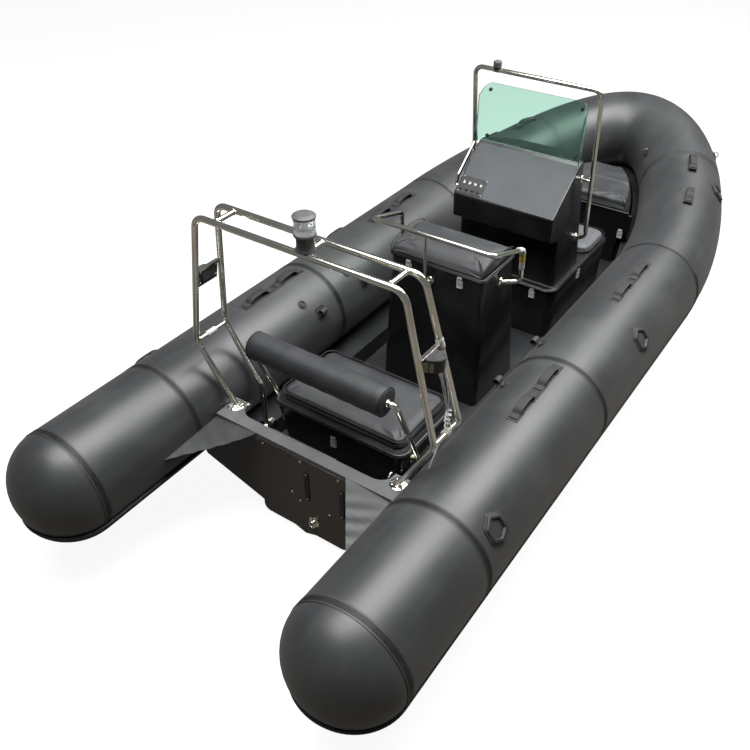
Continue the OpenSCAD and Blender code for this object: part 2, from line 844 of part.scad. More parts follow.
// The locker is a deep tray between the tubes with a wall down to the deck.
module bow_locker() {
    aft = locker_y + wall;
    width = beside(u_at(aft, -locker_in), -locker_in, 0)[0];
    color("black")
    difference() {
        union() {
            translate([0, 0, locker_floor])
                linear_extrude(locker_z - locker_floor)
                    bow_plan(-locker_in, aft, locker_end + 60);
            translate([0, aft, 0])
                rotate([90, 0, 0])
                    linear_extrude(wall)
                        both_halves([[0, deck_z], [292, deck_z], [300, 150],
                            [width, locker_floor], [width, locker_z], [0, locker_z]]);
        }
        translate([0, 0, locker_floor + wall])
            linear_extrude(locker_z - locker_floor)
                bow_plan(-locker_in - wall, aft, locker_end - 2 * wall);
    }
}

module bow_locker_lid() {
    color("black")
        translate([0, 0, locker_z])
            linear_extrude(lid_t)
                bow_plan(-lid_in, locker_y - 6, locker_end);
}

module bow_cushion() {
    color("dimgray")
        translate([0, 0, locker_z + lid_t + seat_gap])
            linear_extrude(locker_pad)
                bow_plan(-pad_in, locker_y + 8, locker_end - 2);
}

// Latches on the boxes, each with its back on a face at the point given.
module latch(at, turn) {
    translate(at)
        rotate([0, 0, turn])
            translate([-16, -9, -22])
                cube([32, 9, 44]);
}

module latches() {
    color("silver") {
        latch([-14, lean(rear_y + 33, rear_y + 6, deck_z, rear_z, rear_z - 82) - 2, rear_z - 82], 0);
        for (x = [-150, 140])
            latch([x, lean(pilot_y - 20, pilot_y + 6, deck_z, pilot_z, pilot_z - 48) - 1,
                pilot_z - 30], 0);
        latch([198, lean(console_y - 12, console_y, deck_z, console_z, console_z - 48) - 0.2,
            console_z - 32], 0);
        latch([console_w / 2 + seat_gap, 569, console_z - 32], 90);
        latch([315, locker_y - seat_gap, locker_floor - 29], 0);
    }
}

lower_hull();
deck();
transom();
transom_fittings();
port_tube();
starboard_tube();
bow_tube();
port_rub_strake();
starboard_rub_strake();
port_gusset();
starboard_gusset();
port_lift_handles();
starboard_lift_handles();
port_grab_straps();
starboard_grab_straps();
tube_valves();
oar_holders();
arch_aft_hoop();
arch_forward_hoop();
arch_crossbars();
mast_light();
port_light();
starboard_light();
rear_seat_box();
rear_seat_lid();
rear_seat_cushion();
backrest_frame();
backrest_roll();
pilot_seat_box();
pilot_seat_lid();
pilot_seat_cushion();
pilot_seat_rail();
console_locker();
console_body();
switch_panel();
windscreen();
windscreen_rail();
screen_lamp();
console_seat_cushion();
bow_locker();
bow_locker_lid();
bow_cushion();
latches();
light_lead();
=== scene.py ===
from math import atan2, cos, exp, pi, radians, sin, sqrt, tan, tau

import bmesh
import bpy
from mathutils import Matrix, Vector


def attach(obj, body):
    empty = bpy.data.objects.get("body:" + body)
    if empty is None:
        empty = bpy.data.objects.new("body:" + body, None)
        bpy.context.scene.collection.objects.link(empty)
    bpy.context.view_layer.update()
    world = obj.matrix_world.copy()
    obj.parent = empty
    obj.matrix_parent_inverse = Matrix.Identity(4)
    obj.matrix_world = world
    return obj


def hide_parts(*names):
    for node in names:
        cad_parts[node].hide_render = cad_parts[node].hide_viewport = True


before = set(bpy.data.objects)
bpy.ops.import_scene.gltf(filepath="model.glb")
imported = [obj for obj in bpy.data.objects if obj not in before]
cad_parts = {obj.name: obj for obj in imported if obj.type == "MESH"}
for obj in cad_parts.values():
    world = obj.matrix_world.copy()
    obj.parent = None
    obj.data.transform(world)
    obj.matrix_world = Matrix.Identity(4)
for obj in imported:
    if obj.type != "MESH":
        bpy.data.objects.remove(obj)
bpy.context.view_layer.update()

# ---- Camera ----
# It stands off the starboard quarter and looks down over the stern to the bow.
turn, tilt, roll = radians(34.795), radians(37.79), radians(-0.1715)
back = Vector((sin(turn) * cos(tilt), -cos(turn) * cos(tilt), sin(tilt)))
right = Vector((cos(turn), sin(turn), 0))
up = back.cross(right)
view_x = cos(roll) * right + sin(roll) * up
view_y = cos(roll) * up - sin(roll) * right
camera = bpy.data.objects.new("camera", bpy.data.cameras.new("camera"))
bpy.context.scene.collection.objects.link(camera)
camera.data.lens = 40.4
camera.data.sensor_width = 36
camera.matrix_world = Matrix.Translation((1.7757, -3.5994, 2.8043)) @ Matrix(
    (view_x, view_y, back)).transposed().to_4x4()
bpy.context.scene.camera = camera
bpy.context.scene.view_settings.view_transform = "Standard"


# ---- Light lead ----
# A thin white lead hangs from the starboard light, is knotted, passes round the arch's
# crossbar and ends bare. It is soft plastic over copper, and spare strands hang beside it.
class Wire:
    """A value or colour inside a material; arithmetic on it adds the nodes."""

    def __init__(self, paint, socket):
        self.paint, self.socket = paint, socket

    def maths(self, operation, *values):
        return self.paint.node("ShaderNodeMath", {"operation": operation}, *values)

    def __add__(self, other):
        return self.maths("ADD", self, other)

    def __radd__(self, other):
        return self.maths("ADD", other, self)

    def __mul__(self, other):
        return self.maths("MULTIPLY", self, other)

    def __rmul__(self, other):
        return self.maths("MULTIPLY", other, self)

    def clipped(self, low, high):
        """0 below low, 1 above high, and a straight run between."""
        return self.paint.node("ShaderNodeMapRange", {"clamp": True}, self, low, high, 0.0, 1.0)


class Paint:
    """A material under construction, on one Principled shader, and the finish it stands for."""

    def __init__(self, name, slot, colour, roughness, **fixed):
        self.material = bpy.data.materials.new(name)
        self.material.use_nodes = True
        self.tree = self.material.node_tree
        self.shader = self.tree.nodes["Principled BSDF"]
        self.slot, self.colour, self.roughness = slot, (*colour, 1.0), roughness
        self.set("Base Color", self.colour)
        self.set("Roughness", roughness)
        for socket, value in fixed.items():
            self.set(socket.replace("_", " ").title().replace("Ior", "IOR"), value)
        self.place = self.node("ShaderNodeTexCoord", output="Object")

    def set(self, socket, value):
        self.join(self.shader.inputs[socket], value)

    def join(self, socket, value):
        if isinstance(value, Wire):
            self.tree.links.new(value.socket, socket)
        else:
            socket.default_value = value

    def node(self, kind, settings=None, *values, output=0, **named):
        made = self.tree.nodes.new(kind)
        for key, value in (settings or {}).items():
            setattr(made, key, value)
        for socket, value in zip(made.inputs, values):
            self.join(socket, value)
        for key, value in named.items():
            self.join(made.inputs[key.replace("_", " ").title()], value)
        return Wire(self, made.outputs[output])

    def noise(self, scale, detail=3.0, stretch=(1, 1, 1)):
        at = self.node("ShaderNodeMapping", None, self.place, Scale=stretch)
        return self.node("ShaderNodeTexNoise", None, vector=at, scale=scale, detail=detail)

    def cells(self, scale, feature="F1"):
        return self.node("ShaderNodeTexVoronoi", {"feature": feature},
                         vector=self.place, scale=scale)

    def blend(self, part, low, high):
        made = self.tree.nodes.new("ShaderNodeMix")
        made.data_type = "RGBA"
        for socket, value in ((0, part), (6, low), (7, high)):
            if isinstance(value, tuple):
                value = (*value[:3], 1.0)
            self.join(made.inputs[socket], value)
        return Wire(self, made.outputs[2])

    def wear(self, tint, amount, scale, rougher=0.15, detail=6.0, low=0.35, high=0.75):
        """Dust or wear in soft patches: it shifts the colour and the roughness together."""
        patch = self.noise(scale, detail).clipped(low, high)
        self.set("Base Color", self.blend(patch * amount, self.colour, tint))
        self.set("Roughness", self.roughness + patch * rougher)
        return self

    def bump(self, height, strength, distance):
        self.set("Normal", self.node("ShaderNodeBump", None, strength, distance, height=height))
        return self

    def grain(self, scale, strength, distance, detail=3.0):
        return self.bump(self.noise(scale, detail), strength, distance)


def circle(bm, radius, steps=24):
    made = bmesh.ops.create_circle(bm, segments=steps, radius=radius)["verts"]
    return made, list({e for v in made for e in v.link_edges})


def arc(radius, step, count, first=0):
    """Points on a circle, a number of degrees apart."""
    return [(radius * cos(a), radius * sin(a))
            for a in (radians(first + step * k) for k in range(count))]


def spot(x, y, z, turned=0.0, about="Z"):
    """A place in the boat, turned by some degrees about one of its own axes."""
    return Matrix.Translation((x, y, z)) @ Matrix.Rotation(radians(turned), 4, about)


def sweep(bm, ring, places, ends=True):
    """A ring is extruded from one place to the next; each place is a matrix."""
    verts, edges = ring
    bmesh.ops.transform(bm, matrix=places[0], verts=verts)
    first = edges
    for before, after in zip(places, places[1:]):
        out = bmesh.ops.extrude_edge_only(bm, edges=edges)["geom"]
        edges = [e for e in out if isinstance(e, bmesh.types.BMEdge)]
        verts = [v for v in out if isinstance(v, bmesh.types.BMVert)]
        bmesh.ops.transform(bm, matrix=after @ before.inverted(), verts=verts)
    if ends:
        for loop in (first, edges):
            bmesh.ops.contextual_create(bm, geom=loop)
    return first, edges


def along(points, lift=None):
    """Places along a line of points, turning as little as they can."""
    points = [Vector(p) for p in points]
    run = [(after - before).normalized()
           for before, after in zip(points[:1] + points, points[1:] + points[-1:])]
    side = lift or (Vector((0, 0, 1)) if abs(run[0].z) < 0.9 else Vector((1, 0, 0)))
    places = []
    for point, ahead in zip(points, run):
        side = (side - ahead * side.dot(ahead)).normalized()
        places.append(Matrix.Translation(point) @ Matrix(
            (side, ahead.cross(side), ahead)).transposed().to_4x4())
    return places


def smooth_line(points, steps=4):
    """A soft curve that passes through every point."""
    points = [Vector(p) for p in points]
    line = []
    for i in range(len(points) - 1):
        a, b, c, d = (points[min(max(j, 0), len(points) - 1)] for j in (i - 1, i, i + 1, i + 2))
        for k in (k / steps for k in range(steps)):
            line.append(0.5 * (2 * b + (c - a) * k + (2 * a - 5 * b + 4 * c - d) * k * k
                               + (3 * b - a - 3 * c + d) * k ** 3))
    return line + [points[-1]]


def rod(bm, points, radius, steps=24, ends=True):
    """A round wire or bar along a line of points."""
    sweep(bm, circle(bm, radius, steps), along(points), ends)


def in_scene(name, bm, paint):
    """The mesh becomes an object of the scene, with its material on."""
    mesh = bpy.data.meshes.new(name)
    bm.to_mesh(mesh)
    bm.free()
    mesh.materials.append(paint.material)
    made = bpy.data.objects.new(name, mesh)
    bpy.context.scene.collection.objects.link(made)
    return made


def piece(bm, name, paint, replaces=(), body="boat", twin=False, crease=35, bevel=0.0):
    """A finished object: faces outwards, its material on, riding on its body."""
    if twin:
        copy = bmesh.ops.duplicate(bm, geom=bm.verts[:] + bm.edges[:] + bm.faces[:])["geom"]
        bmesh.ops.scale(bm, vec=(-1, 1, 1),
                        verts=[v for v in copy if isinstance(v, bmesh.types.BMVert)])
    bmesh.ops.recalc_face_normals(bm, faces=bm.faces)
    made = in_scene(name, bm, paint)
    made.data.shade_smooth()
    made.data.set_sharp_from_angle(angle=radians(crease))
    if bevel:
        edge = made.modifiers.new("edge", "BEVEL")
        edge.width, edge.segments, edge.angle_limit = bevel, 3, radians(40)
        edge.harden_normals = True
    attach(made, body)
    if replaces:
        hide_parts(*replaces)
    return made


lead_paint = Paint("lead_white", "lead_white", (0.9, 0.9, 0.88), 0.42) \
    .wear((0.62, 0.61, 0.57), 0.4, 60.0)
lead_route = [
    (0.58, -1.466, 0.949), (0.588, -1.456, 0.9), (0.598, -1.446, 0.83),
    (0.606, -1.44, 0.76), (0.613, -1.437, 0.7), (0.626, -1.436, 0.66),
    (0.63, -1.438, 0.634), (0.624, -1.442, 0.616), (0.613, -1.448, 0.608),
    (0.604, -1.458, 0.604), (0.6, -1.474, 0.59), (0.598, -1.496, 0.56),
    (0.596, -1.516, 0.53), (0.595, -1.534, 0.505)]
lead_line = smooth_line(lead_route)
lead_d = 0.006
bm = bmesh.new()
rod(bm, lead_line, lead_d / 2, 12)
lead = piece(bm, "light_lead_wire", lead_paint, ["light_lead"])

strand_runs = [
    [(0.574, -1.474, 0.95), (0.58, -1.462, 0.905), (0.595, -1.446, 0.84),
     (0.601, -1.44, 0.78), (0.605, -1.436, 0.742)],
    [(0.594, -1.456, 0.95), (0.599, -1.447, 0.9), (0.603, -1.44, 0.85),
     (0.61, -1.436, 0.79), (0.612, -1.434, 0.742)],
    [(0.585, -1.478, 0.95), (0.59, -1.468, 0.9), (0.592, -1.455, 0.845),
     (0.6, -1.446, 0.79), (0.607, -1.44, 0.74)]]
knot_r, knot_wave, turns_r = 0.0095, 0.003, 0.0143
knot = [(0.611 + (knot_r + knot_wave * sin(0.7 * k)) * cos(0.55 * k),
         -1.437 + (knot_r + knot_wave * cos(0.9 * k)) * sin(0.55 * k), 0.742 - 0.0019 * k)
        for k in range(44)]
turns = [(0.613 + turns_r * cos(0.5 * k), -1.43 - 0.0009 * k, 0.635 + turns_r * sin(0.5 * k))
         for k in range(34)]
loose = [(0.605, -1.424, 0.655), (0.597, -1.414, 0.64), (0.596, -1.412, 0.6),
         (0.6, -1.414, 0.57)]
bm = bmesh.new()
for run, strand_r in [(run, 0.0019) for run in strand_runs] + [
        (knot, 0.0024), (turns, 0.0024), (loose, 0.0016)]:
    rod(bm, smooth_line(run), strand_r, 8)
strands = piece(bm, "light_lead_strands", lead_paint, crease=70)
sum((b - a).length for a, b in zip(lead_line, lead_line[1:]))

# ---- Lamps, floor and backdrop ----
# A wide soft box hangs over the boat as the sky would, and the keel stands on a pale floor.
lamp_spot, lamp_target = Vector((0.48, 0.35, 5.3)), Vector((0.1, -0.5, 0.3))
sky = bpy.data.lights.new("soft_box", "AREA")
sky.shape, sky.size, sky.size_y, sky.energy = "RECTANGLE", 3.4, 10.0, 900
sky_box = bpy.data.objects.new("soft_box", sky)
sky_box.location = lamp_spot
sky_box.rotation_euler = (lamp_spot - lamp_target).to_track_quat("Z", "Y").to_euler()
bpy.context.scene.collection.objects.link(sky_box)


def shader(tree, kind, **inputs):
    made = tree.nodes.new("ShaderNode" + kind)
    for socket, value in inputs.items():
        made.inputs[socket].default_value = value
    return made.outputs[0]


def either(tree, choice, no, yes):
    """One shader or the other; the choice is a share or a link."""
    made = tree.nodes.new("ShaderNodeMixShader")
    for socket, value in zip(made.inputs, (choice, no, yes)):
        if isinstance(value, float):
            socket.default_value = value
        else:
            tree.links.new(value, socket)
    return made.outputs[0]


world = bpy.data.worlds.new("world")
bpy.context.scene.world = world
world.use_nodes = True
air = world.node_tree
rays = air.nodes.new("ShaderNodeLightPath").outputs
lit = shader(air, "Background", Color=(1.0, 0.99, 0.97, 1), Strength=0.018)
seen = shader(air, "Background", Color=(1, 1, 1, 1), Strength=1.0)
mirrored = shader(air, "Background", Color=(0.93, 0.97, 1.0, 1), Strength=0.15)
result = either(air, rays["Is Glossy Ray"], lit, mirrored)
for ray in ("Is Transmission Ray", "Is Camera Ray"):
    result = either(air, rays[ray], result, seen)
air.links.new(result, air.nodes["World Output"].inputs["Surface"])

floor_z, floor_r, floor_glow, floor_mirrored = -0.1815, 14, 0.8, 0.11
floor_paint = Paint("floor_white", None, (0.93, 0.93, 0.93), 0.9)
floor_nodes = floor_paint.tree
rays = floor_paint.node("ShaderNodeLightPath").socket.node.outputs
white = Wire(floor_paint, rays["Is Camera Ray"]) + Wire(floor_paint, rays["Is Transmission Ray"]) \
    + Wire(floor_paint, rays["Is Glossy Ray"]) * floor_mirrored
warm = shader(floor_nodes, "BsdfDiffuse", Color=(0.085, 0.07, 0.05, 1))
glow = either(floor_nodes, floor_glow, floor_paint.shader.outputs[0],
              shader(floor_nodes, "Emission", Strength=1.16))
floor_nodes.links.new(either(floor_nodes, white.socket, warm, glow),
                 floor_nodes.nodes["Material Output"].inputs["Surface"])
bm = bmesh.new()
bmesh.ops.create_circle(bm, cap_ends=True, segments=96, radius=floor_r)
bmesh.ops.translate(bm, vec=(0, 0, floor_z), verts=bm.verts)
in_scene("floor", bm, floor_paint)

# ---- Inflated tubes ----
# Rubber-coated cloth, glued up in lengths and pumped hard: two straight side tubes with
# rounded stern caps, and a bow length that turns and rises. Taped seams cover the joins.
tube_r, tube_x, tube_z = 0.25, 0.7375, 0.28
stern_y, cap_len, bow_y, bow_tip = -2.26, 0.23, 0.657, 2.237
sheer_y, sheer_rise, sheer_power = 0.525, 0.227, 1.843
bow_line = [Vector(p) for p in (
    (tube_x, bow_y), (tube_x, bow_y + 0.6), (0.412, bow_tip), (0, bow_tip))]


def sheer(y):
    return sheer_rise * (max(0.0, y - sheer_y) / (bow_tip - sheer_y)) ** sheer_power


def bow_place(u, side=1):
    """The place beside the starboard half of the bow: across is outwards, up is up."""
    a, b, c, d = bow_line
    at = (1 - u) ** 3 * a + 3 * (1 - u) ** 2 * u * b + 3 * (1 - u) * u * u * c + u ** 3 * d
    ahead = 3 * (1 - u) ** 2 * (b - a) + 6 * (1 - u) * u * (c - b) + 3 * u * u * (d - c)
    ahead = ahead.normalized()
    return Matrix(((side * ahead.y, 0, side * ahead.x, side * at.x), (-ahead.x, 0, ahead.y, at.y),
                   (0, 1, 0, tube_z + sheer(at.y)), (0, 0, 0, 1)))


def straight_place(y, side=1, squeeze=1.0):
    return Matrix(((side, 0, 0, side * tube_x), (0, 0, 1, y), (0, 1, 0, tube_z), (0, 0, 0, 1))) \
        @ Matrix.Diagonal((squeeze, squeeze, 1, 1))


def cap_places(side, steps=12):
    """The stern cap's rings, from its tip to where the straight tube starts."""
    angles = [radians(90 - 90 * k / steps) for k in range(steps)]
    return [straight_place(stern_y - cap_len * sin(a), side, max(cos(a), 0.02)) for a in angles]


cloth = Paint("tube_cloth", "tube_cloth", (0.029, 0.0305, 0.032), 0.4,
              specular_ior_level=0.7, sheen_weight=0.06)
scuffs = cloth.noise(2.2, 7.0).clipped(0.42, 0.8)
smears = cloth.noise(5.0, 5.0, (5, 0.6, 3)).clipped(0.5, 0.85)
cloth.set("Base Color", cloth.blend(
    scuffs * 0.4 + smears * 0.22, cloth.colour, (0.095, 0.098, 0.098)))
cloth.set("Roughness", 0.36 + scuffs * 0.14 + cloth.noise(900.0) * 0.08)
cloth.bump(cloth.noise(16.0, 4.0) * 0.5 + cloth.noise(1400.0, 2.0) * 0.02, 0.16, 0.004)
straight_steps = [bow_y * k / 24 + stern_y * (24 - k) / 24 for k in range(25)]
for side, name in ((-1, "port_tube"), (1, "starboard_tube")):
    bm = bmesh.new()
    sweep(bm, circle(bm, tube_r, 64),
          cap_places(side) + [straight_place(y, side) for y in straight_steps])
    piece(bm, name + "_air", cloth, [name])
bow_steps = 40
bow_half = [bow_place(k / bow_steps) for k in range(bow_steps + 1)]
bow_round = bow_half[:-1] + [bow_place(k / bow_steps, -1) for k in range(bow_steps, -1, -1)]
bm = bmesh.new()
sweep(bm, circle(bm, tube_r, 64), bow_round)
piece(bm, "bow_tube_air", cloth, ["bow_tube"])

tape = Paint("seam_tape", "tube_cloth", (0.03, 0.0315, 0.033), 0.41, specular_ior_level=0.5) \
    .wear((0.075, 0.077, 0.077), 0.4, 9.0).grain(500.0, 0.15, 0.001)
tape_t = 0.0007
bm = bmesh.new()
for y in (stern_y, -1.72, -0.63, bow_y):
    for half in (0.019, 0.012):
        sweep(bm, circle(bm, tube_r + tape_t * 1.6, 64),
              [straight_place(y - half), straight_place(y + half)], ends=False)
sweep(bm, circle(bm, tube_r + tape_t, 64), [bow_place(0.51), bow_place(0.53)], ends=False)
piece(bm, "tube_seam_tapes", tape, twin=True)

# ---- Rub strakes ----
# A ribbed rubber fender is glued low along the outside of the tubes, from just inside
# each stern cap round the cap and forward to the bow, to take the knocks of a quay.
def outline(bm, points):
    """A closed flat outline from its corner points."""
    made = [bm.verts.new((x, y, 0)) for x, y in points]
    return made, [bm.edges.new(pair) for pair in zip(made, made[1:] + made[:1])]


def facing(y, out_x, out_y):
    """A place on the side tube's middle line, its run square to the way out."""
    ahead = Vector((out_x, out_y, 0)).cross(Vector((0, 0, 1))).normalized()
    return Matrix(((out_x, 0, ahead.x, tube_x), (out_y, 0, ahead.y, y), (0, 1, 0, tube_z),
                   (0, 0, 0, 1)))


rubber = Paint("black_rubber", "rubber_black", (0.017, 0.017, 0.018), 0.55) \
    .wear((0.075, 0.075, 0.075), 0.6, 14.0).grain(300.0, 0.2, 0.001)
strake_drop, strake_half, strake_start, cap_clear = radians(35), 0.033, -1.63, 1.004
ribs = [(0.2503, 1.0), (0.258, 1.0), (0.2615, 0.86), (0.262, 0.62), (0.259, 0.5),
        (0.2605, 0.38), (0.264, 0.3)]
ribs = [(out, -height) for out, height in ribs] + ribs[::-1]
rib_outline = [(out * cos(strake_drop) + h * strake_half * sin(strake_drop),
                h * strake_half * cos(strake_drop) - out * sin(strake_drop)) for out, h in ribs]
strake_places = [facing(strake_start, -1, 0)]
strake_places += [facing(stern_y, -cap_clear * cos(a), -cap_clear * sin(a) * cap_len / tube_r)
                  for a in (radians(5 * k) for k in range(37))]
strake_places += [facing(stern_y * (1 - k / 12) + (bow_y - 0.001) * k / 12, 1, 0)
                  for k in range(1, 13)]
for side, name in ((-1, "port_rub_strake"), (1, "starboard_rub_strake")):
    bm = bmesh.new()
    sweep(bm, outline(bm, rib_outline), strake_places + bow_half)
    bmesh.ops.scale(bm, vec=(side, 1, 1), verts=bm.verts)
    piece(bm, name + "_ribbed", rubber, [name], crease=50)

# ---- Hull and deck ----
# The hull is a moulded V in gel-coated glass fibre; the deck liner dropped into it has
# a raised non-slip pattern on its floor and a plain shelf along each tube.
def worked(node, name, paint, bevel, body="boat"):
    """The frame's own shape with its flat faces joined again and its edges rounded over."""
    bm = bmesh.new()
    bm.from_mesh(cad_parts[node].data)
    bmesh.ops.remove_doubles(bm, verts=bm.verts, dist=0.00005)
    bmesh.ops.dissolve_limit(bm, angle_limit=radians(1.5), verts=bm.verts, edges=bm.edges)
    return piece(bm, name, paint, [node], body, crease=32, bevel=bevel)


hull_paint = Paint("hull_gel_coat", "gel_grey", (0.03, 0.031, 0.033), 0.28,
                   coat_weight=0.4, coat_roughness=0.15) \
    .wear((0.12, 0.12, 0.115), 0.35, 6.0).grain(7.0, 0.12, 0.004)
worked("lower_hull", "hull_moulding", hull_paint, 0.004)

# A black bead, in the rubber material, fills the joint between the hull's nose and the bow tube.
# This is painted shade: a dark thing laid in the joint, where the hull lies in the tube's shade.
bm = bmesh.new()
bead = circle(bm, 0.012, 12)
bmesh.ops.translate(bm, vec=(-0.104, -0.2315, 0), verts=bead[0])
sweep(bm, bead, bow_round)
piece(bm, "bow_joint_shade_bead", rubber, crease=60)

deck_paint = Paint("deck_non_slip", "deck_grey", (0.018, 0.0195, 0.0215), 0.58,
                   specular_ior_level=0.3)
treads = deck_paint.cells(95.0, "DISTANCE_TO_EDGE").clipped(0.03, 0.2)
deck_wear = deck_paint.noise(5.0, 6.0).clipped(0.4, 0.8)
deck_paint.set("Base Color", deck_paint.blend(
    deck_wear * 0.5 + treads * 0.12, deck_paint.colour, (0.046, 0.048, 0.048)))
deck_paint.set("Roughness", 0.44 + deck_wear * 0.2)
deck_paint.bump(treads, 0.35, 0.0012)
worked("deck", "deck_liner", deck_paint, 0.004)

# ---- Transom ----
# The transom is a thick board moulded over with gel coat: a raised engine pad held by
# screws, two recessed slots drawn as flat near-black strips with screws (their black is painted
# shade), a towing eye and a bright strip along its top edge.
def disc(bm, at, radius, height, steps=24, top=1.0):
    """A short round part standing out from the transom's aft face."""
    made = bmesh.ops.create_cone(bm, cap_ends=True, segments=steps, radius1=radius,
                                 radius2=radius * top, depth=height)["verts"]
    bmesh.ops.translate(bm, vec=(0, 0, height / 2), verts=made)
    bmesh.ops.transform(bm, matrix=spot(*at, 90, "X"), verts=made)


def bar(bm, low, high, turn=None, corner=0.0):
    """A block between two corners; the corners of its broad face are rounded if asked."""
    made = bmesh.ops.create_cube(bm, size=1.0)["verts"]
    low, high = Vector(low), Vector(high)
    size = high - low
    bmesh.ops.scale(bm, vec=size, verts=made)
    bmesh.ops.translate(bm, vec=(low + high) / 2, verts=made)
    if corner:
        thin = min(range(3), key=lambda k: size[k])
        uprights = [e for e in {e for v in made for e in v.link_edges}
                    if abs(e.verts[0].co[thin] - e.verts[1].co[thin]) > 1e-6]
        made = rounded_over(bm, uprights, corner, 6)["verts"]
        made = list({v for f in {f for v in made for f in v.link_faces} for v in f.verts})
    if turn:
        bmesh.ops.transform(bm, matrix=turn, verts=made)


def rounded_over(bm, edges, width, steps):
    return bmesh.ops.bevel(bm, geom=edges, offset=width, segments=steps, profile=0.5,
                           affect="EDGES", material=-1)


transom_paint = Paint("transom_gel_coat", "transom_grey", (0.04, 0.029, 0.021), 0.34,
                      coat_weight=0.25, coat_roughness=0.2)
streaks = transom_paint.noise(6.0, 5.0, (3, 3, 0.5)).clipped(0.45, 0.8)
transom_paint.set("Base Color", transom_paint.blend(
    streaks * 0.55, transom_paint.colour, (0.07, 0.058, 0.046)))
transom_paint.set("Roughness", 0.3 + streaks * 0.22)
transom_paint.grain(9.0, 0.12, 0.003)
worked("transom", "transom_board", transom_paint, 0.006)
bm = bmesh.new()
bar(bm, (-0.243, -1.6145, -0.15), (0.243, -1.606, 0.3), corner=0.034)
piece(bm, "engine_pad", transom_paint, bevel=0.0025)

top_paint = Paint("transom_top", "transom_grey", (0.115, 0.12, 0.125), 0.4,
                  coat_weight=0.2, coat_roughness=0.2) \
    .wear((0.2, 0.2, 0.195), 0.4, 9.0).grain(40.0, 0.1, 0.002)
band_low, band_high, aft_face = 0.2955, 0.3222, -1.6118
bm = bmesh.new()
bar(bm, (-0.486, aft_face, 0.3195), (0.486, -1.551, band_high))
bar(bm, (-0.486, aft_face, 0.276), (0.486, -1.6095, 0.3215))
for side in (-1, 1):
    pad = outline(bm, [(side * x, y) for x, y in (
        (0.33, -1.5512), (0.352, -1.5485), (0.372, -1.541), (0.388, -1.528), (0.398, -1.512),
        (0.402, -1.49), (0.403, -1.474), (0.489, -1.474), (0.489, -1.5512))])
    sweep(bm, pad, [spot(0, 0, band_low), spot(0, 0, band_high)])
piece(bm, "transom_top_band", top_paint, bevel=0.0012)

steel = Paint("stainless", "stainless", (0.7, 0.68, 0.63), 0.17, metallic=1.0)
steel.set("Base Color", steel.blend(
    steel.noise(11.0).clipped(0.3, 0.7), (0.95, 0.935, 0.89), (0.84, 0.8, 0.66)))
steel.set("Roughness", 0.07 + steel.noise(90.0, 4.0, (1, 1, 0.2)) * 0.1)
# The two slots are flat near-black strips standing on the face. This is painted shade: the dark
# inside of each recessed slot.
slot_shade_paint = Paint("slot_shade_black", "rubber_black", (0.012, 0.012, 0.012), 0.6) \
    .wear((0.05, 0.05, 0.05), 0.5, 40.0)
slot_xs = (0.03, 0.222)
bm = bmesh.new()
for x in slot_xs:
    bar(bm, (x - 0.012, -1.6185, 0.06), (x + 0.012, -1.6135, 0.232), corner=0.011)
piece(bm, "slot_shade_strips", slot_shade_paint)

bm = bmesh.new()
for x in slot_xs:
    for z in (0.072, 0.22):
        disc(bm, (x, -1.6185, z), 0.004, 0.002, 12, 0.7)
for x, z in ((-0.21, 0.282), (0.0, 0.282), (0.205, 0.282), (-0.06, 0.065), (-0.015, 0.035),
             (0.15, 0.04)):
    disc(bm, (x, -1.6142, z), 0.0065, 0.003, 20, 0.7)
eye_x, eye_z = 0.06, -0.06
disc(bm, (eye_x, -1.614, eye_z), 0.028, 0.004, 40)
rod(bm, [(eye_x + x, -1.626 - 0.009 * abs(z / 0.016) ** 0.5, eye_z + z)
         for x, z in arc(0.016, 12, 31)], 0.0042, 12)
disc(bm, (eye_x, -1.618, eye_z), 0.012, 0.01, 24, 0.8)
bar(bm, (-0.2, -1.5535, 0.3215), (0.15, -1.5485, 0.3245))
for x in (-0.343, 0.343):
    bar(bm, (x - 0.018, -1.418, 0.15), (x + 0.018, -1.3905, 0.205), corner=0.006)
piece(bm, "transom_fittings_bright", steel, ["transom_fittings"], crease=40, bevel=0.0006)

# ---- Cloth gussets ----
# A flap of the tube's own coated cloth is glued from the transom's top corner to the
# tube on each side, to keep spray out; it is thin and creases where it is pulled.
for side, name in ((-1, "port"), (1, "starboard")):
    bm = bmesh.new()
    corners = [Vector((side * x, y, z)) for x, y, z in (
        (0.244, -1.6117, 0.3215), (0.4865, -1.6117, 0.3045), (0.4865, -1.944, 0.2865))]
    bm.faces.new([bm.verts.new(corner) for corner in corners])
    bmesh.ops.subdivide_edges(bm, edges=bm.edges, cuts=15, use_grid_fill=True)
    bmesh.ops.triangulate(bm, faces=bm.faces)
    for v in bm.verts:
        aft, across = (-1.6117 - v.co.y) / 0.332, (abs(v.co.x) - 0.244) / 0.2425
        hang = max(0.0, aft * (1 - aft)) * max(0.0, 1 - across) * 1.2
        fold = sin(26 * aft + 9 * across + side) * 0.0035 * min(1.0, 4 * max(0.0, 1 - across))
        v.co.z -= 0.055 * hang - fold * min(1.0, 3 * aft)
    bmesh.ops.solidify(bm, geom=bm.faces[:], thickness=0.0018)
    flap = piece(bm, name + "_gusset_cloth", cloth, [name + "_gusset"], crease=60)
    name + "_tube_air"

# ---- Lift handles ----
# Moulded rubber handles are glued on the outside of the tubes: a six-sided patch, a
# raised rim and a hand hole in the middle of the rim.
lying = Matrix(((0, 0, 1, 0), (1, 0, 0, 0), (0, 1, 0, 0), (0, 0, 0, 1)))


def on_side(side, place):
    """The same place, or its mirror image on the port side."""
    return Matrix.Diagonal((side, 1, 1, 1)) @ place


def tube_place(y, angle, side=1):
    """A place on a side tube's skin: angle up from level, x along the tube, z outwards."""
    return on_side(side, spot(tube_x, y, tube_z, 90 - angle, "Y") @ spot(0, 0, tube_r))


def bow_patch(u, angle, side=1):
    """The same on the bow curve, u of the way round to the bow's middle."""
    return on_side(side, bow_place(u) @ spot(0, 0, 0, angle) @ spot(tube_r, 0, 0) @ lying)


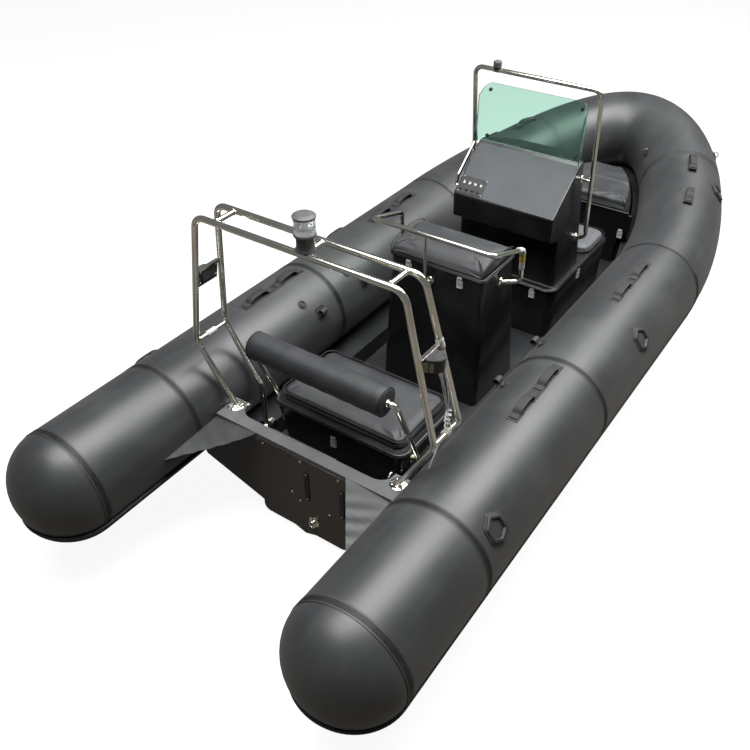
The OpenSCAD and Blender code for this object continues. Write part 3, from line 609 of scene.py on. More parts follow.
def wrap(bm):
    """Flat work bent round the tube: y of the sheet runs along it, x round it."""
    for v in bm.verts:
        a, r = v.co.x / tube_r, tube_r + v.co.z
        v.co.x, v.co.z = r * sin(a), r * cos(a) - tube_r


webbing = Paint("grip_rubber", "rubber_black", (0.02, 0.0205, 0.0215), 0.5) \
    .wear((0.06, 0.06, 0.06), 0.5, 30.0).grain(700.0, 0.25, 0.0008, 2.0)


def hex_ring(bm, outer, inner, low, high):
    """A six-sided washer with rounded corners and a domed face."""
    rings = []
    for radius, z in ((outer, low), (outer, (low + high) / 2), (outer - 0.003, high - 0.001),
                      ((outer + inner) / 2, high), (inner + 0.003, high - 0.001), (inner, low)):
        verts, edges = circle(bm, radius, 48)
        for v in verts:
            turn = (atan2(v.co.y, v.co.x) + radians(30)) % radians(60) - radians(30)
            v.co.xy *= 0.93 * cos(radians(30)) / cos(abs(turn) - radians(30)) + 0.07
            v.co.z = z
        rings.append(edges)
    for one, two in zip(rings, rings[1:]):
        bmesh.ops.bridge_loops(bm, edges=one + two)


def lift_handle(bm):
    hex_ring(bm, 0.071, 0.04, 0.0006, 0.005)
    hex_ring(bm, 0.06, 0.0415, 0.004, 0.0108)
    wrap(bm)


def placed(shape, places):
    """The same small part made at each place, all in one mesh."""
    whole = bmesh.new()
    for place in places:
        part, keep = bmesh.new(), bpy.data.meshes.new("joining")
        shape(part)
        bmesh.ops.transform(part, matrix=place, verts=part.verts)
        part.to_mesh(keep)
        part.free()
        whole.from_mesh(keep)
        bpy.data.meshes.remove(keep)
    return whole


for side, name in ((-1, "port_lift_handles"), (1, "starboard_lift_handles")):
    places = [tube_place(y, 38, side) for y in (-1.6, -0.12)] + [bow_patch(0.4, 38, side)]
    piece(placed(lift_handle, places), name + "_moulded", webbing, [name], crease=45)

# ---- Grab straps ----
# Flat webbing straps stand up in a low bow between two square rubber patches glued
# along the tops of the tubes, in pairs, so that people can hold on and lines be tied.
strap_paint = Paint("strap_webbing", "rubber_black", (0.016, 0.0165, 0.018), 0.62) \
    .wear((0.05, 0.05, 0.05), 0.5, 30.0)
strap_paint.bump(strap_paint.node("ShaderNodeTexWave", {"bands_direction": "Y"},
                                  vector=strap_paint.place, scale=160.0), 0.35, 0.0006)


def grab_strap(bm):
    for y in (-0.078, 0.078):
        bar(bm, (-0.027, y - 0.036, 0.0004), (0.027, y + 0.036, 0.0022), corner=0.006)
    half = [(0.018, 0.03), (0.042, 0.027), (0.058, 0.019), (0.068, 0.007), (0.078, 0.004),
            (0.1, 0.004)]
    line = [(0, -y, z) for y, z in reversed(half)] + [(0, y, z) for y, z in half]
    band = outline(bm, [(-0.0012, -0.0185), (0.0012, -0.0185), (0.002, -0.012),
                        (0.002, 0.012), (0.0012, 0.0185), (-0.0012, 0.0185)])
    sweep(bm, band, along(smooth_line(line, 3), Vector((0, 0, 1))))
    wrap(bm)


for side, name in ((-1, "port_grab_straps"), (1, "starboard_grab_straps")):
    places = [tube_place(y, 90, side) for y in (-1.01, -0.78, 0.09, 0.32)]
    places += [bow_patch(u, 84, side) for u in (0.3, 0.47)]
    piece(placed(grab_strap, places), name + "_webbing", strap_paint, [name], crease=50)

# ---- Valves and oar holders ----
# Screw-in inflation valves with a collar and a push pin, and short rubber cups for the
# oars, are glued to the inside of the tubes.
def lathe(bm, profile, steps=32, at=None):
    """A turned part: a profile of (radius, height) spun round the upright axis."""
    before = set(bm.verts)
    line = [bm.verts.new((r, 0, z)) for r, z in profile]
    edges = [bm.edges.new(pair) for pair in zip(line, line[1:])]
    bmesh.ops.spin(bm, geom=line + edges, cent=(0, 0, 0), axis=(0, 0, 1), angle=tau, steps=steps)
    made = [v for v in bm.verts if v not in before]
    bmesh.ops.remove_doubles(bm, verts=made, dist=1e-6)
    if at is not None:
        bmesh.ops.transform(bm, matrix=at, verts=[v for v in made if v.is_valid])


def valve(bm):
    lathe(bm, [(0, 0.0055), (0.0055, 0.0055), (0.006, 0.0035), (0.011, 0.0035),
               (0.0125, 0.0075), (0.015, 0.009), (0.018, 0.0075), (0.0188, 0.004),
               (0.0245, 0.0032), (0.0252, 0.0004)], 40)


def oar_holder(bm):
    bar(bm, (-0.03, -0.032, 0.0005), (0.03, 0.032, 0.003), corner=0.012)
    lathe(bm, [(0.0125, -0.024), (0.0165, -0.02), (0.018, 0.0), (0.0165, 0.02),
               (0.014, 0.021), (0.015, 0.0), (0.0135, -0.019), (0.0, -0.02)], 28,
          spot(0, 0, 0.0185, 90, "X"))


for shape, name, node, angle, spots in (
        (valve, "tube_valves_turned", "tube_valves", 130, (-0.86, -0.48)),
        (oar_holder, "oar_holders_moulded", "oar_holders", 150, (-0.78, -0.4))):
    places = [tube_place(y, angle, side) for side in (-1, 1) for y in spots]
    piece(placed(shape, places), name, rubber, [node], crease=40)

# ---- Lights arch ----
# Two hoops of polished stainless tube stand over the rear seat. The aft one is welded to
# round screwed flanges, the forward one runs down to the deck, and crossbars join them.
def rounded(points, radius, steps=8):
    """A line of points with its corners turned into bends."""
    points = [Vector(p) for p in points]
    line = [points[0]]
    for before, corner, after in zip(points, points[1:], points[2:]):
        first, second = (before - corner).normalized(), (after - corner).normalized()
        half = first.angle(second) / 2
        centre = corner + (first + second).normalized() * radius / sin(half)
        start, end = (corner + d * radius / tan(half) - centre for d in (first, second))
        line += [centre + start.normalized().slerp(end.normalized(), k / steps) * radius
                 for k in range(steps + 1)]
    return line + [points[-1]]


def pipe(name, points, diameter, bend, replaces=(), body="boat"):
    """A bent stainless tube."""
    bm = bmesh.new()
    rod(bm, rounded(points, bend), diameter / 2)
    return piece(bm, name, steel, replaces, body, crease=60)


def hooped(half):
    """A starboard line of points and its mirror image, as one line."""
    return half + [(-x, y, z) for x, y, z in reversed(half)]


arch_y, arch_gap, arch_d, arch_bend = -1.52, 0.186, 0.027, 0.06
knee_x, knee_y, knee_z = 0.619, arch_y - 0.024, 0.635
top_x, aft_top_y, fore_top_y, top_z = 0.486, arch_y - 0.048, arch_y + 0.076, 1.293
foot_x, fore_foot_x, fore_foot_y = 0.447, 0.4435, arch_y + arch_gap - 0.01
knee, aft_top = (knee_x, knee_y, knee_z), (top_x, aft_top_y, top_z)
fore_knee, fore_top = (knee_x, knee_y + arch_gap, knee_z), (top_x, fore_top_y, top_z)
pipe("arch_aft_hoop_tube", hooped([(foot_x, arch_y, 0.3285), knee, aft_top]), arch_d,
     arch_bend, ["arch_aft_hoop"])
pipe("arch_forward_hoop_tube", hooped([
    (fore_foot_x, fore_foot_y, 0.08), (fore_foot_x, fore_foot_y, 0.33), fore_knee, fore_top]),
    arch_d, arch_bend, ["arch_forward_hoop"])


def weld(bm, start, end, radius, bead=0.0022):
    """A round bar with a low weld bead at each end."""
    start, end = Vector(start), Vector(end)
    rod(bm, [start, end], radius, 20)
    span = (end - start).normalized()
    for at in (start + span * 0.0015, end - span * 0.0015):
        loop = along([at - span * 0.0001, at + span * 0.0001])[0]
        rod(bm, [loop @ Vector((x, y, 0)) for x, y in arc(radius + 0.001, 24, 16)], bead, 8,
            ends=False)


bm = bmesh.new()
pipe_r = 0.0125
for x in (-0.385, 0.05, 0.42):
    weld(bm, (x, aft_top_y + pipe_r, top_z), (x, fore_top_y - pipe_r, top_z), 0.011)
for x in (-0.613, 0.613):
    weld(bm, (x, knee_y + pipe_r, knee_z), (x, knee_y + arch_gap - pipe_r, knee_z), 0.011)
for side in (-1, 1):
    at = spot(side * foot_x, arch_y, 0.3222)
    lathe(bm, [(0, 0.01), (0.0135, 0.01), (0.0185, 0.0085), (0.019, 0.005),
               (0.0365, 0.004), (0.0385, 0.0025), (0.0385, -0.002)], 48, at)
    for x, y in arc(0.0285, 90, 4, 45):
        lathe(bm, [(0, 0.0028), (0.0022, 0.0026), (0.0042, 0.0012), (0.0046, 0.0)], 16,
              at @ spot(x, y, 0.0045))
    lathe(bm, [(0.013, 0.012), (0.0165, 0.01), (0.018, 0.004), (0.034, 0.003), (0.036, 0.0)],
          40, spot(side * fore_foot_x, fore_foot_y, 0.0805))
    rod(bm, [(side * 0.392 + 0.004 * z, -1.5 + 0.014 * y, 0.3275 + 0.015 * z)
             for y, z in arc(1, 15, 17, -30)], 0.0032, 12)
piece(bm, "arch_crossbars_welded", steel, ["arch_crossbars"], crease=45)

# ---- All-round light ----
# A grey plastic lamp on the middle crossbar: a flared foot and neck, a ring, a clear
# lens over the bulb holder, a frosted band below it and a domed cap.
lamp_at = spot(0.05, arch_y - 0.03, 1.3068)
lens_low, lens_high = 0.0675, 0.1284
lamp_grey = Paint("lamp_plastic", "lamp_plastic", (0.075, 0.078, 0.084), 0.42) \
    .wear((0.15, 0.15, 0.15), 0.4, 50.0).grain(600.0, 0.15, 0.0005)
bm = bmesh.new()
lathe(bm, [(0, 0.0002), (0.04, 0.0002), (0.04, 0.004), (0.0345, 0.012), (0.0338, 0.018),
           (0.0335, 0.054), (0.035, 0.057), (0.0415, 0.0585), (0.0425, 0.061),
           (0.0425, 0.0655), (0.041, 0.0675), (0, 0.0675)], 64, lamp_at)
lathe(bm, [(0, 0.144), (0.028, 0.1436), (0.0345, 0.142), (0.0385, 0.139), (0.043, 0.1365),
           (0.0436, 0.1345), (0.0436, 0.131), (0.0425, 0.129), (0.038, 0.1282), (0, 0.1282)],
      64, lamp_at)
piece(bm, "mast_light_housing", lamp_grey, ["mast_light"], crease=38)

lens = Paint("lens_clear", "lamp_plastic", (0.93, 0.95, 0.95), 0.06,
             transmission_weight=1.0, ior=1.3)
lens.set("Roughness", 0.04 + lens.noise(200.0) * 0.08)
bm = bmesh.new()
for inwards in (0.0, 0.0022):
    lathe(bm, [(radius - inwards, z) for radius, z in (
        (0.0395, lens_low), (0.04, 0.072), (0.04, 0.088), (0.0392, 0.09),
        (0.04, 0.092), (0.04, 0.105), (0.0392, 0.107), (0.04, 0.109),
        (0.04, 0.124), (0.0395, lens_high))], 64, lamp_at)
piece(bm, "mast_light_lens", lens, crease=60)

frost = Paint("lens_frosted", "lamp_plastic", (0.72, 0.73, 0.72), 0.55) \
    .wear((0.45, 0.46, 0.46), 0.6, 60.0)
bm = bmesh.new()
lathe(bm, [(0, 0.0675), (0.036, 0.068), (0.0365, 0.086), (0.0345, 0.0885), (0, 0.0885)],
      48, lamp_at)
lathe(bm, [(0, 0.0885), (0.0095, 0.089), (0.01, 0.096), (0.007, 0.098), (0.0075, 0.106),
           (0.0095, 0.113), (0.008, 0.119), (0.004, 0.1225), (0, 0.123)], 32, lamp_at)
for x, y in arc(0.03, 120, 3, 20):
    lathe(bm, [(0.0022, 0.088), (0.0022, lens_high)], 8, lamp_at @ spot(x, y, 0))
piece(bm, "mast_light_bulb", frost, crease=50)

# ---- Side lights ----
# A plate hangs between the arch's legs on each side. The starboard one carries a black
# lamp with two small windows, a grille, a steel gusset and a wrap of white tape.
lamp_black = Paint("lamp_black", "lamp_plastic", (0.022, 0.022, 0.023), 0.38) \
    .wear((0.06, 0.06, 0.06), 0.5, 50.0).grain(500.0, 0.15, 0.0005)
plate_paint = Paint("light_plate", "lamp_plastic", (0.04, 0.041, 0.043), 0.45) \
    .wear((0.11, 0.11, 0.11), 0.5, 25.0)
window = Paint("lamp_window", "lamp_plastic", (0.3, 0.28, 0.16), 0.18, coat_weight=0.6) \
    .wear((0.16, 0.16, 0.1), 0.7, 60.0)
here = spot(0.5428, -1.5445, 1.012)
port_leg = on_side(-1, here @ spot(0, 0, 0, -11.4, "Y"))
bm = bmesh.new()
bar(bm, (-0.002, 0.004, -0.084), (0.0015, 0.118, 0.003), port_leg)
bar(bm, (-0.0035, 0.004, -0.084), (-0.002, 0.118, -0.08), port_leg)
lamp = outline(bm, [(0.002, 0.024), (0.03, 0.032), (0.05, 0.05), (0.058, 0.066),
                    (0.055, 0.082), (0.042, 0.094), (0.02, 0.1), (0.002, 0.101)])
sweep(bm, lamp, [on_side(-1, here @ spot(0, 0, z)) for z in (-0.062, -0.02)])
piece(bm, "port_light_plate", plate_paint, ["port_light"], bevel=0.0018)
bm = bmesh.new()
for y in (0.014, 0.108):
    for z in (-0.012, -0.068):
        lathe(bm, [(0, 0.003), (0.003, 0.0028), (0.0052, 0.0012), (0.0056, 0.0)], 16,
              port_leg @ spot(-0.0025, y, z, -90, "Y"))
bar(bm, (-0.008, 0.002, -0.002), (0.008, 0.12, 0.0065), port_leg, corner=0.003)
piece(bm, "port_light_screws", steel, crease=45)

bm = bmesh.new()
shell = [(0.003, 0.022), (0.02, 0.024), (0.044, 0.036), (0.058, 0.052), (0.063, 0.066),
         (0.06, 0.08), (0.05, 0.092), (0.03, 0.101), (0.003, 0.103)]
sweep(bm, outline(bm, shell), [here @ spot(0, 0, z) for z in (-0.062, -0.014)])
cap = [(x * 1.03, y + (0.0015 if y > 0.06 else -0.0015)) for x, y in shell]
cap_top = spot(0.004, 0.006, -0.003) @ Matrix.Diagonal((0.84, 0.9, 1, 1))
sweep(bm, outline(bm, cap), [here @ at for at in (
    spot(0, 0, -0.016), spot(0, 0, -0.0075), cap_top)])
for k in range(5):
    bar(bm, (-0.004, -0.011, 0), (0.0035, 0.011, 0.003),
        here @ spot(0.06, 0.073, -0.05 + 0.0075 * k, 10))
piece(bm, "starboard_light_housing", lamp_black, ["starboard_light"], bevel=0.0015)
bm = bmesh.new()
for shift in (0.000, 0.0235):
    bar(bm, (-0.0095, -0.0022, 0.0), (0.0095, 0.0045, 0.04),
        here @ spot(0.0118 + shift * 0.87, 0.0205 + shift * 0.5, -0.058, 29.5), corner=0.0012)
piece(bm, "starboard_light_windows", window, bevel=0.0008)
bm = bmesh.new()
bar(bm, (-0.0085, 0.0, -0.0015), (0.0085, 0.132, 0.0055), here, corner=0.0035)
web = outline(bm, [(0.0, 0.0), (0.052, 0.0), (0.0, -0.08)])
sweep(bm, web, [here @ spot(x, 0.006, -0.006) @ lying for x in (-0.0015, 0.0015)])
piece(bm, "starboard_light_bracket", steel, crease=40, bevel=0.0006)

wrap_paint = Paint("white_tape", "lead_white", (0.74, 0.74, 0.72), 0.5) \
    .wear((0.45, 0.44, 0.4), 0.6, 60.0).grain(140.0, 0.6, 0.002, 5.0)
leg = [Vector(fore_knee).lerp(Vector(fore_top), (z - knee_z) / (top_z - knee_z))
       for z in (0.985, 0.992, 1.004, 1.016, 1.026, 1.034)]
bm = bmesh.new()
sweep(bm, circle(bm, 0.0155), [
    place @ Matrix.Diagonal((radius / 0.0155, radius / 0.0155, 1, 1)) for place, radius in
    zip(along(leg), (0.014, 0.0162, 0.0172, 0.0156, 0.017, 0.0142))], ends=False)
sweep(bm, circle(bm, 0.013), [
    place @ Matrix.Diagonal((1 + 0.07 * sin(2.3 * i), 1 + 0.07 * cos(1.9 * i), 1, 1))
    for i, place in enumerate(along([(-0.613, -1.485 + 0.008 * k, knee_z) for k in range(8)]))],
    ends=False)
piece(bm, "arch_tape_wraps", wrap_paint, crease=70)

# ---- Bow fittings ----
# Two D-rings on round patches are glued to the bow's outside for mooring, and a third
# sits inside the starboard bow. Each ring is dull steel, held by a tab on its patch.
def ring_patch(bm):
    lathe(bm, [(0.0, 0.003), (0.03, 0.0028), (0.034, 0.0012), (0.0345, 0.0)])
    bar(bm, (-0.016, -0.01, 0.0026), (0.016, 0.01, 0.0062), corner=0.004)
    wrap(bm)


def d_ring(bm):
    ring_r = 0.019
    bow = [(x, 0, 0.0065 + z) for x, z in arc(ring_r, 15, 13)]
    rod(bm, [(-ring_r, 0, 0.0045)] + bow[::-1] + [(ring_r, 0, 0.0045)], 0.0028, 12)
    rod(bm, [(-ring_r, 0, 0.0055), (ring_r, 0, 0.0055)], 0.0028, 12)


ring_paint = Paint("d_ring_dull_steel", "stainless", (0.16, 0.16, 0.16), 0.35, metallic=0.9) \
    .wear((0.4, 0.38, 0.34), 0.5, 80.0)
ring_spots = [bow_patch(0.62, 28, -1), bow_patch(0.62, 28), bow_patch(0.62, 150)]
piece(placed(ring_patch, ring_spots), "bow_ring_patches", webbing, crease=45)
piece(placed(d_ring, ring_spots), "bow_d_rings", ring_paint, crease=60)

# ---- Rear seat ----
# A moulded locker box, narrower at the floor, under a hinged lid with a rolled lip. A
# foam cushion in black leather cloth is held on the lid by press studs under its edge.
def moulded_box(bm, foot, top, low, high, corner, edge=0.012):
    """A box whose foot and top are (x0, x1, y0, y1), with rounded uprights and top edge."""
    made = bmesh.ops.create_cube(bm, size=2.0)["verts"]
    for v in made:
        x0, x1, y0, y1 = top if v.co.z > 0 else foot
        v.co = (x1 if v.co.x > 0 else x0, y1 if v.co.y > 0 else y0, high if v.co.z > 0 else low)
    uprights = [e for e in {e for v in made for e in v.link_edges}
                if abs(e.verts[0].co.z - e.verts[1].co.z) > (high - low) * 0.5]
    rounded_over(bm, uprights, corner, 8)
    rim = [e for e in bm.edges if all(abs(v.co.z - high) < 1e-6 for v in e.verts)]
    rounded_over(bm, rim, edge, 5)


def rect(half, y0, y1):
    return -half, half, y0, y1


def rim_line(half, y0, y1, corner, z):
    """The line round a rounded rectangle, closed."""
    line = []
    for cx, cy, first in ((half - corner, y1 - corner, 0), (-half + corner, y1 - corner, 90),
                          (-half + corner, y0 + corner, 180), (half - corner, y0 + corner, 270)):
        line += [Vector((cx + x, cy + y, z)) for x, y in arc(corner, 15, 7, first)]
    return line


def rolled_lip(bm, line):
    """A round bead all the way round a closed line, its ends joined."""
    places = along(line + line[:2], Vector((0, 0, 1)))
    first, last = sweep(bm, outline(bm, arc(0.0045, 36, 10)), places[:-1] + places[:1], ends=False)
    bmesh.ops.remove_doubles(bm, dist=1e-5,
                             verts=list({v for e in first + last if e.is_valid for v in e.verts}))


gel = Paint("gel_black", "gel_black", (0.0095, 0.0098, 0.0105), 0.2, specular_ior_level=0.4,
            coat_weight=0.22, coat_roughness=0.12) \
    .wear((0.055, 0.055, 0.053), 0.35, 4.0, 0.22, 8.0, 0.46, 0.86)
gel.bump(gel.noise(10.0, 3.0) + gel.noise(160.0) * 0.05, 0.1, 0.003)
box_foot = -0.01


def locker(name, foot, top, high, corner, node):
    bm = bmesh.new()
    moulded_box(bm, foot, top, box_foot, high, corner, 0.003)
    piece(bm, name, gel, [node], crease=40)


def lid(name, half, y0, y1, low, high, corner, body, node):
    """A lid with a rounded top edge and a rolled lip that stands a little proud."""
    bm = bmesh.new()
    moulded_box(bm, rect(half, y0, y1), rect(half, y0, y1), low + 0.0008, high, corner, 0.007)
    rolled_lip(bm, rim_line(half - 0.0015, y0 + 0.0015, y1 - 0.0015, corner, low + 0.0055))
    piece(bm, name, gel, [node], body, crease=40)


vinyl = Paint("seat_leather_cloth", "cushion_grey", (0.032, 0.034, 0.037), 0.46,
              specular_ior_level=0.42)
grain = vinyl.cells(420.0).clipped(0.0, 0.9)
vinyl_wear = vinyl.noise(7.0, 6.0).clipped(0.42, 0.8)
vinyl.set("Base Color", vinyl.blend(
    vinyl_wear * 0.45 + grain * 0.08, vinyl.colour, (0.085, 0.087, 0.088)))
vinyl.set("Roughness", 0.43 + vinyl_wear * 0.16 + grain * 0.06)
vinyl.bump(grain + vinyl.noise(25.0, 4.0) * 1.5, 0.22, 0.0012)


def puffed(bm, name, paint, body, node, rise, shape=None):
    """A cushion is blown up from a slightly small block by cloth pressure, base held flat."""
    bmesh.ops.recalc_face_normals(bm, faces=bm.faces)
    made = in_scene(name, bm, paint)
    scene = bpy.context.scene
    base = min(v.co.z for v in made.data.vertices)

    def keep():
        """The modifier's result becomes the mesh."""
        depsgraph = bpy.context.evaluated_depsgraph_get()
        fresh = bpy.data.meshes.new_from_object(made.evaluated_get(depsgraph))
        made.modifiers.clear()
        made.data = fresh

    remesh = made.modifiers.new("work", "REMESH")
    remesh.mode, remesh.voxel_size = "VOXEL", 0.006
    keep()
    rest = [v.co.copy() for v in made.data.vertices]
    group = made.vertex_groups.new(name="base")
    group.add([v.index for v in made.data.vertices if v.co.z < base + 0.006], 1.0, "REPLACE")
    blow = made.modifiers.new("work", "CLOTH")
    for key, value in dict(
            quality=4, mass=0.3, tension_stiffness=22, compression_stiffness=22,
            shear_stiffness=12, bending_stiffness=1.2, use_pressure=True,
            uniform_pressure_force=4.0, vertex_group_mass="base").items():
        setattr(blow.settings, key, value)
    blow.settings.effector_weights.gravity = 0.0
    blow.point_cache.frame_end = 20
    for step in range(1, 21):
        scene.frame_set(step)
    keep()
    scene.frame_set(1)
    for v, was in zip(made.data.vertices, rest):
        move = v.co - was
        if move.length > rise:
            move *= rise / move.length
        v.co = was + move
        if shape:
            v.co = shape(v.co.copy())
        v.co.z = max(v.co.z, base)
    made.data.shade_smooth()
    made.data.materials.clear()
    made.data.materials.append(paint.material)
    soft = made.modifiers.new("soft", "SUBSURF")
    soft.levels = soft.render_levels = 1
    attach(made, body)
    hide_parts(node)


def crown(half, y_mid, y_half, amount, low):
    """Lifts the middle of a cushion's top a little."""
    def shape(co):
        across, length = co.x / half, (co.y - y_mid) / y_half
        lift = max(0.0, 1 - across ** 4) * max(0.0, 1 - length ** 4)
        co.z += amount * lift * max(0.0, (co.z - low) / 0.05)
        return co
    return shape


welt = Paint("cushion_piping", "cushion_grey", (0.018, 0.0185, 0.02), 0.5) \
    .wear((0.05, 0.05, 0.05), 0.5, 40.0)


def piping(name, lines, radius, body):
    """Sewn edges: a thin welt laid along each line."""
    bm = bmesh.new()
    for line in lines:
        rod(bm, line, radius, 8, ends=False)
    piece(bm, name, welt, body=body, crease=70)


locker("rear_seat_locker", rect(0.32, -1.337, -0.942), rect(0.364, -1.364, -0.906), 0.282,
       0.055, "rear_seat_box")
lid("rear_seat_lid_moulded", 0.37, -1.37, -0.9, 0.282, 0.3, 0.06, "rear_lid",
    "rear_seat_lid")
bm = bmesh.new()
moulded_box(bm, rect(0.336, -1.334, -0.946), rect(0.334, -1.332, -0.948), 0.3006, 0.347, 0.045)
puffed(bm, "rear_seat_pad", vinyl, "rear_lid", "rear_seat_cushion", 0.007,
       shape=crown(0.34, -1.14, 0.2, 0.003, 0.3))
edge_line = rim_line(0.3405, -1.3385, -0.9415, 0.046, 0.344)
piping("rear_seat_piping", [edge_line + edge_line[:2]], 0.0022, "rear_lid")

# ---- Backrest ----
# A foam roll in the same leather cloth turns on a stainless tube, which comes up from
# brackets on the sides of the locker on two straight arms.
arm_x, arm_y, arm_z, roll_y, roll_z = 0.391, -1.274, 0.236, -1.46, 0.67
seat_pipe_d = 0.024
pipe("backrest_arms", hooped([(0.3625, arm_y, arm_z), (arm_x, arm_y, arm_z),
                              (arm_x, roll_y, roll_z)]), seat_pipe_d, 0.027, ["backrest_frame"])
bm = bmesh.new()
for side in (-1, 1):
    lathe(bm, [(0.0122, 0.004), (0.0165, 0.003), (0.024, 0.0022), (0.025, 0.0)], 32,
          spot(side * 0.3628, arm_y, arm_z, 90 * side, "Y"))
    lathe(bm, [(0.0122, 0.006), (0.017, 0.005), (0.018, 0.0)], 32,
          spot(side * 0.3505, roll_y, roll_z, 90 * side, "Y"))
piece(bm, "backrest_collars", steel, crease=40)
bm = bmesh.new()
end = [(0.012, 0.349), (0.05, 0.3495), (0.06, 0.345), (0.0645, 0.335)]
waves = [(0.0645 + 0.0012 * sin(k * 1.9), -0.335 + 0.67 * k / 24) for k in range(1, 24)]
lathe(bm, [(r, -x) for r, x in end] + waves + end[::-1], 64, spot(0, roll_y, roll_z, 90, "Y"))
roll_pad = piece(bm, "backrest_roll_pad", vinyl, ["backrest_roll"], crease=70)
piping("backrest_roll_seams", [
    [(x, roll_y + y, roll_z + z) for y, z in arc(0.0635, 9, 42)] for x in (-0.3415, 0.3415)],
    0.002, "boat")

# ---- Pilot's seat ----
# A tall moulded box stands amidships under a hinged lid; its cushion is a low padded
# dome. A stainless rail with one post hooks round its back and sides as a grab rail.
locker("pilot_seat_locker", rect(0.285, -0.555, -0.127), rect(0.262, -0.529, -0.211), 0.716,
       0.03, "pilot_seat_box")
lid("pilot_seat_lid_moulded", 0.268, -0.535, -0.205, 0.716, 0.734, 0.024, "pilot_lid",
    "pilot_seat_lid")
dome_aft, dome_len, dome_low, dome_rise = -0.5285, 0.317, 0.7423, 0.056
dome = [(dome_aft + dome_len * (1 - cos(a)) / 2, dome_low + dome_rise * sin(a) ** 0.8)
        for a in (pi * k / 16 for k in range(17))]
bm = bmesh.new()
sweep(bm, outline(bm, [(dome_aft, 0.7346)] + dome + [(dome_aft + dome_len, 0.7346)]),
      [spot(x, 0, 0) @ lying for x in (-0.254, 0.254)])
puffed(bm, "pilot_seat_pad", vinyl, "pilot_lid", "pilot_seat_cushion", 0.009)
piping("pilot_seat_piping", [[(x, y, z + 0.0055) for y, z in dome] for x in (-0.2585, 0.2585)],
       0.0022, "pilot_lid")
rail_low, rail_aft_y, rail_top = 0.64, -0.582, 0.912
pipe("pilot_rail_tube", hooped([
    (0.27, -0.345, rail_low), (0.345, -0.29, rail_low), (0.345, -0.305, 0.823),
    (0.33, rail_aft_y, rail_top)]), seat_pipe_d, 0.03, ["pilot_seat_rail"])
pipe("pilot_rail_post", [(-0.027, rail_aft_y, rail_top), (-0.027, -0.576, rail_low),
                         (-0.027, -0.5335, rail_low)], 0.022, 0.016)
bm = bmesh.new()
lathe(bm, [(0.0112, 0.01), (0.015, 0.007), (0.023, 0.004), (0.025, 0.0)], 32,
      spot(-0.027, -0.5335, rail_low, 90, "X"))
for side in (-1, 1):
    lathe(bm, [(0.0122, 0.008), (0.016, 0.006), (0.024, 0.003), (0.025, 0.0)], 32,
          spot(side * 0.267, -0.347, rail_low, 90 * side, "Y"))
piece(bm, "pilot_rail_flanges", steel, crease=40)
tape_white = Paint("wrap_white", "lead_white", (0.72, 0.72, 0.7), 0.38) \
    .wear((0.4, 0.4, 0.38), 0.6, 70.0).grain(120.0, 0.6, 0.002, 5.0)
tape_yellow = Paint("wrap_yellow", "lead_white", (0.8, 0.56, 0.03), 0.38) \
    .wear((0.6, 0.5, 0.3), 0.4, 70.0).grain(120.0, 0.5, 0.002, 5.0)
bend = rounded([(0.3355, -0.48, 0.88), (0.345, -0.305, 0.823), (0.345, -0.297, 0.7)], 0.03, 10)
wrap_top, wrap_foot = Vector((0.345, -0.3035, 0.798)), Vector((0.345, -0.297, 0.712))
for name, paint, radius, line in (
        ("white", tape_white, 0.015, [(0.34, -0.345, 0.8365)] + bend[3:-1]),
        ("yellow", tape_yellow, 0.014,
         [wrap_top.lerp(wrap_foot, 0.26 / 0.56 * k / 6) for k in range(7)]),
        ("tail", tape_white, 0.0134,
         [wrap_top.lerp(wrap_foot, (0.28 + 0.26 * k / 6) / 0.56) for k in range(7)])):
    bm = bmesh.new()
    sweep(bm, circle(bm, radius, 20), [
        place @ Matrix.Diagonal((1 + 0.05 * sin(5.1 * i), 1 + 0.06 * cos(3.7 * i), 1, 1))
        for i, place in enumerate(along(line))])
    piece(bm, "pilot_rail_wrap_" + name, paint, crease=60)

# ---- Console ----
# A gel-coated locker is fixed to the deck, and the console moulded over it tilts forward:
# a lid with a rolled lip, and a body with a sloping dash and a chin recess below it.
locker("console_locker_moulded", rect(0.32, 0.213, 0.981), rect(0.32, 0.225, 1.005), 0.288,
       0.06, "console_locker")
console_paint = Paint("console_gel_coat", "gel_black", (0.011, 0.0113, 0.012), 0.24,
                      coat_weight=0.3, coat_roughness=0.15) \
    .wear((0.05, 0.05, 0.052), 0.5, 5.0, 0.18, 8.0, 0.42, 0.84)
console_paint.bump(console_paint.noise(8.0, 3.0) + console_paint.noise(260.0) * 0.06, 0.14, 0.003)
worked("console_body", "console_moulding", console_paint, 0.011, "console")
bm = bmesh.new()
rolled_lip(bm, rim_line(0.324, 0.218, 1.012, 0.06, 0.2935))
piece(bm, "console_lid_lip", gel, body="console", crease=60)

# The dash face is a satin panel let into the sloping top, with a narrow groove round it.
dash_low, dash_high = Vector((0, 0.144, 0.767)), Vector((0, 0.41, 0.983))
dash_run = (dash_high - dash_low).length
dash = Matrix.Translation(dash_low) @ Matrix.Rotation(
    atan2(dash_high.z - dash_low.z, dash_high.y - dash_low.y), 4, "X")
dash_paint = Paint("dash_satin", "gel_grey", (0.074, 0.079, 0.086), 0.52, specular_ior_level=0.35) \
    .wear((0.17, 0.172, 0.178), 0.35, 5.0).grain(420.0, 0.18, 0.0005)
bm = bmesh.new()
bar(bm, (-0.29, 0.01, -0.0004), (0.29, dash_run - 0.016, 0.0012), dash, corner=0.01)
piece(bm, "dash_panel", dash_paint, body="console", bevel=0.0006)

